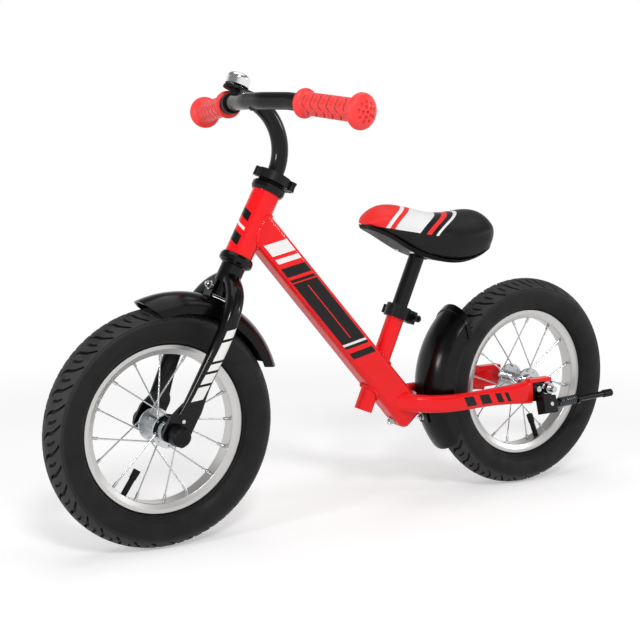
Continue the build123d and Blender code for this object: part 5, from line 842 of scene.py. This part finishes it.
class BIKE_OT_fittings(bpy.types.Operator):
    """Finishes of the fenders, clamps, bell, kickstand foot and fasteners"""

    bl_idname = "bike.fittings"
    bl_label = "Fittings"

    def execute(self, context):
        colours = context.scene.bike_colours
        dress(moulding("gloss black fender", colours.moulded, 0.12, 3.0, 0.10), "front_fender", "rear_fender")
        dress(moulding("satin black fittings", colours.moulded, 0.36, 1.2, 0.12), "bell_base", "bell_lever",
              "kickstand_foot")
        dress(moulding("anodised clamp", colours.anodised, 0.30, 1.0, 0.08), "seat_clamp_collar",
              "seat_clamp_lever", "seat_clamp_skewer", "handlebar_clamp_collar", "handlebar_clamp_lever",
              "handlebar_clamp_skewer")
        dress(plated("bell chrome", colours.chrome, 0.04, 12.0), "bell_dome", "bell_screw")
        dress(plated("bright zinc fasteners", colours.zinc, 0.18, 5.0), "front_fender_bolt", "rear_fender_bolts",
              "kickstand_pivot_pin", "kickstand_bolt")
        return {"FINISHED"}


# Stage
FLOOR_HALF = 30.0
# Each lamp's name, place in metres, side in metres and power in watts.
LAMPS = (
    ("key", (0.9, 2.2, 2.2), 0.55, 34.0),
    ("front", (2.6, 0.6, 1.0), 0.45, 18.0),
    ("top", (-0.3, -0.2, 2.6), 2.2, 22.0),
    ("tail", (-2.2, 1.4, 1.1), 0.4, 10.0),
)
WORLD_STRENGTH = 0.55
# The world dims to the ceiling's share between these heights of its direction.
CEILING = 0.25
CEILING_RISE = (0.25, 0.55)
# Share of light that the paper sends back, the glow that lifts it to white, and where it fades out, in metres.
PAPER_SHARE = 0.82
PAPER_GLOW = 0.38
PAPER_FADE = (0.7, 1.3)


def backdrop_rays(tree):
    """1 for the rays that show the backdrop itself: camera, glossy and transmission rays."""
    seen = node(tree, "ShaderNodeLightPath")
    shown = node(tree, "ShaderNodeMath", {0: seen.outputs["Is Camera Ray"], 1: seen.outputs["Is Glossy Ray"]},
                 operation="MAXIMUM")
    return node(tree, "ShaderNodeMath", {0: shown.outputs[0], 1: seen.outputs["Is Transmission Ray"]},
                operation="MAXIMUM").outputs[0]


class BIKE_OT_stage(bpy.types.Operator):
    """White floor, soft studio light and the photograph's camera"""

    bl_idname = "bike.stage"
    bl_label = "Stage"

    def execute(self, context):
        scene, paper = context.scene, list(context.scene.bike_colours.paper)
        scene.view_settings.view_transform = "Standard"

        shape = bmesh.new()
        bmesh.ops.create_grid(shape, x_segments=1, y_segments=1, size=FLOOR_HALF)
        mesh = bpy.data.meshes.new("floor")
        shape.to_mesh(mesh)
        shape.free()
        floor = bpy.data.objects.new("floor", mesh)
        scene.collection.objects.link(floor)
        # Seamless paper: keeps the soft shadow near the bike and runs out to plain white.
        material = bpy.data.materials.new("seamless paper")
        material.use_nodes = True
        tree = material.node_tree
        tree.nodes.clear()
        diffuse = node(tree, "ShaderNodeBsdfDiffuse", {"Color": darker(paper, PAPER_SHARE)})
        lift = node(tree, "ShaderNodeMath", {0: backdrop_rays(tree), 1: PAPER_GLOW}, operation="MULTIPLY")
        glow = node(tree, "ShaderNodeEmission", {"Color": paper, "Strength": lift.outputs[0]})
        near = node(tree, "ShaderNodeAddShader", {0: diffuse.outputs[0], 1: glow.outputs[0]})
        white = node(tree, "ShaderNodeEmission", {"Color": paper, "Strength": 1.0})
        place = node(tree, "ShaderNodeTexCoord").outputs["Object"]
        reach = node(tree, "ShaderNodeVectorMath", {0: place}, operation="LENGTH")
        inputs = {"Value": reach.outputs["Value"], "From Min": PAPER_FADE[0], "From Max": PAPER_FADE[1]}
        fade = node(tree, "ShaderNodeMapRange", inputs, interpolation_type="SMOOTHSTEP")
        surface = node(tree, "ShaderNodeMixShader", {0: fade.outputs[0], 1: near.outputs[0], 2: white.outputs[0]})
        node(tree, "ShaderNodeOutputMaterial", {"Surface": surface.outputs[0]})
        mesh.materials.append(material)

        world = bpy.data.worlds.new("studio")
        scene.world = world
        world.use_nodes = True
        tree = world.node_tree
        tree.nodes.clear()
        inputs = {"Value": backdrop_rays(tree), "To Min": WORLD_STRENGTH, "To Max": 1.0}
        strength = node(tree, "ShaderNodeMapRange", inputs)
        way = node(tree, "ShaderNodeSeparateXYZ", {0: node(tree, "ShaderNodeTexCoord").outputs["Generated"]})
        inputs = {"Value": way.outputs["Z"], "From Min": CEILING_RISE[0], "From Max": CEILING_RISE[1],
                  "To Min": 1.0, "To Max": CEILING}
        ceiling = node(tree, "ShaderNodeMapRange", inputs, interpolation_type="SMOOTHSTEP")
        level = node(tree, "ShaderNodeMath", {0: strength.outputs[0], 1: ceiling.outputs[0]}, operation="MULTIPLY")
        sky = node(tree, "ShaderNodeBackground", {"Color": paper, "Strength": level.outputs[0]})
        node(tree, "ShaderNodeOutputWorld", {"Surface": sky.outputs[0]})

        aim = Vector((0, 0, 0.3))
        for name, spot, size, watts in LAMPS:
            lamp = bpy.data.lights.new(name, "AREA")
            lamp.shape = "SQUARE"
            lamp.size = size
            lamp.energy = watts
            holder = bpy.data.objects.new(name, lamp)
            holder.location = spot
            holder.rotation_euler = (aim - Vector(spot)).to_track_quat("-Z", "Y").to_euler()
            scene.collection.objects.link(holder)

        lens = bpy.data.cameras.new("camera")
        lens.lens = CAMERA_LENS
        lens.sensor_width = SENSOR
        lens.clip_start = 0.05
        camera = bpy.data.objects.new("camera", lens)
        scene.collection.objects.link(camera)
        level_way = Vector((math.cos(CAMERA_YAW), math.sin(CAMERA_YAW), 0))
        ahead = level_way * math.cos(CAMERA_PITCH) + Vector((0, 0, math.sin(CAMERA_PITCH)))
        right = ahead.cross(Vector((0, 0, 1))).normalized()
        up = right.cross(ahead)
        c, s = math.cos(CAMERA_ROLL), math.sin(CAMERA_ROLL)
        turn = Matrix((right * c + up * s, up * c - right * s, -ahead)).transposed()
        camera.matrix_world = Matrix.Translation(CAMERA_PLACE) @ turn.to_4x4()
        scene.camera = camera
        return {"FINISHED"}


OPERATORS = (BIKE_OT_stage, BIKE_OT_tyres, BIKE_OT_wheels, BIKE_OT_grips, BIKE_OT_saddle, BIKE_OT_enamel,
             BIKE_OT_welds, BIKE_OT_spring, BIKE_OT_fittings)


class BIKE_PT_looks(bpy.types.Panel):
    """Lists the steps that dress the bike, with their sizes and colours"""

    bl_idname = "BIKE_PT_looks"
    bl_label = "Balance Bike"
    bl_space_type = "VIEW_3D"
    bl_region_type = "UI"
    bl_category = "Balance Bike"

    def draw(self, context):
        for operator in OPERATORS:
            self.layout.operator(operator.bl_idname)
        for group in (context.scene.bike_sizes, context.scene.bike_colours):
            column = self.layout.column()
            for name in group.bl_rna.properties.keys():
                if name not in ("rna_type", "name"):
                    column.prop(group, name)


CLASSES = (BikeColours, BikeSizes, *OPERATORS, BIKE_PT_looks)


def register():
    for made in CLASSES:
        bpy.utils.register_class(made)
    bpy.types.Scene.bike_colours = PointerProperty(type=BikeColours)
    bpy.types.Scene.bike_sizes = PointerProperty(type=BikeSizes)


def unregister():
    del bpy.types.Scene.bike_sizes
    del bpy.types.Scene.bike_colours
    for made in reversed(CLASSES):
        bpy.utils.unregister_class(made)


def main():
    register()
    bpy.ops.bike.stage()
    bpy.ops.bike.tyres()
    bpy.ops.bike.wheels()
    bpy.ops.bike.grips()
    bpy.ops.bike.saddle()
    bpy.ops.bike.enamel()
    bpy.ops.bike.welds()
    bpy.ops.bike.spring()
    bpy.ops.bike.fittings()


if __name__ == "__main__":
    main()
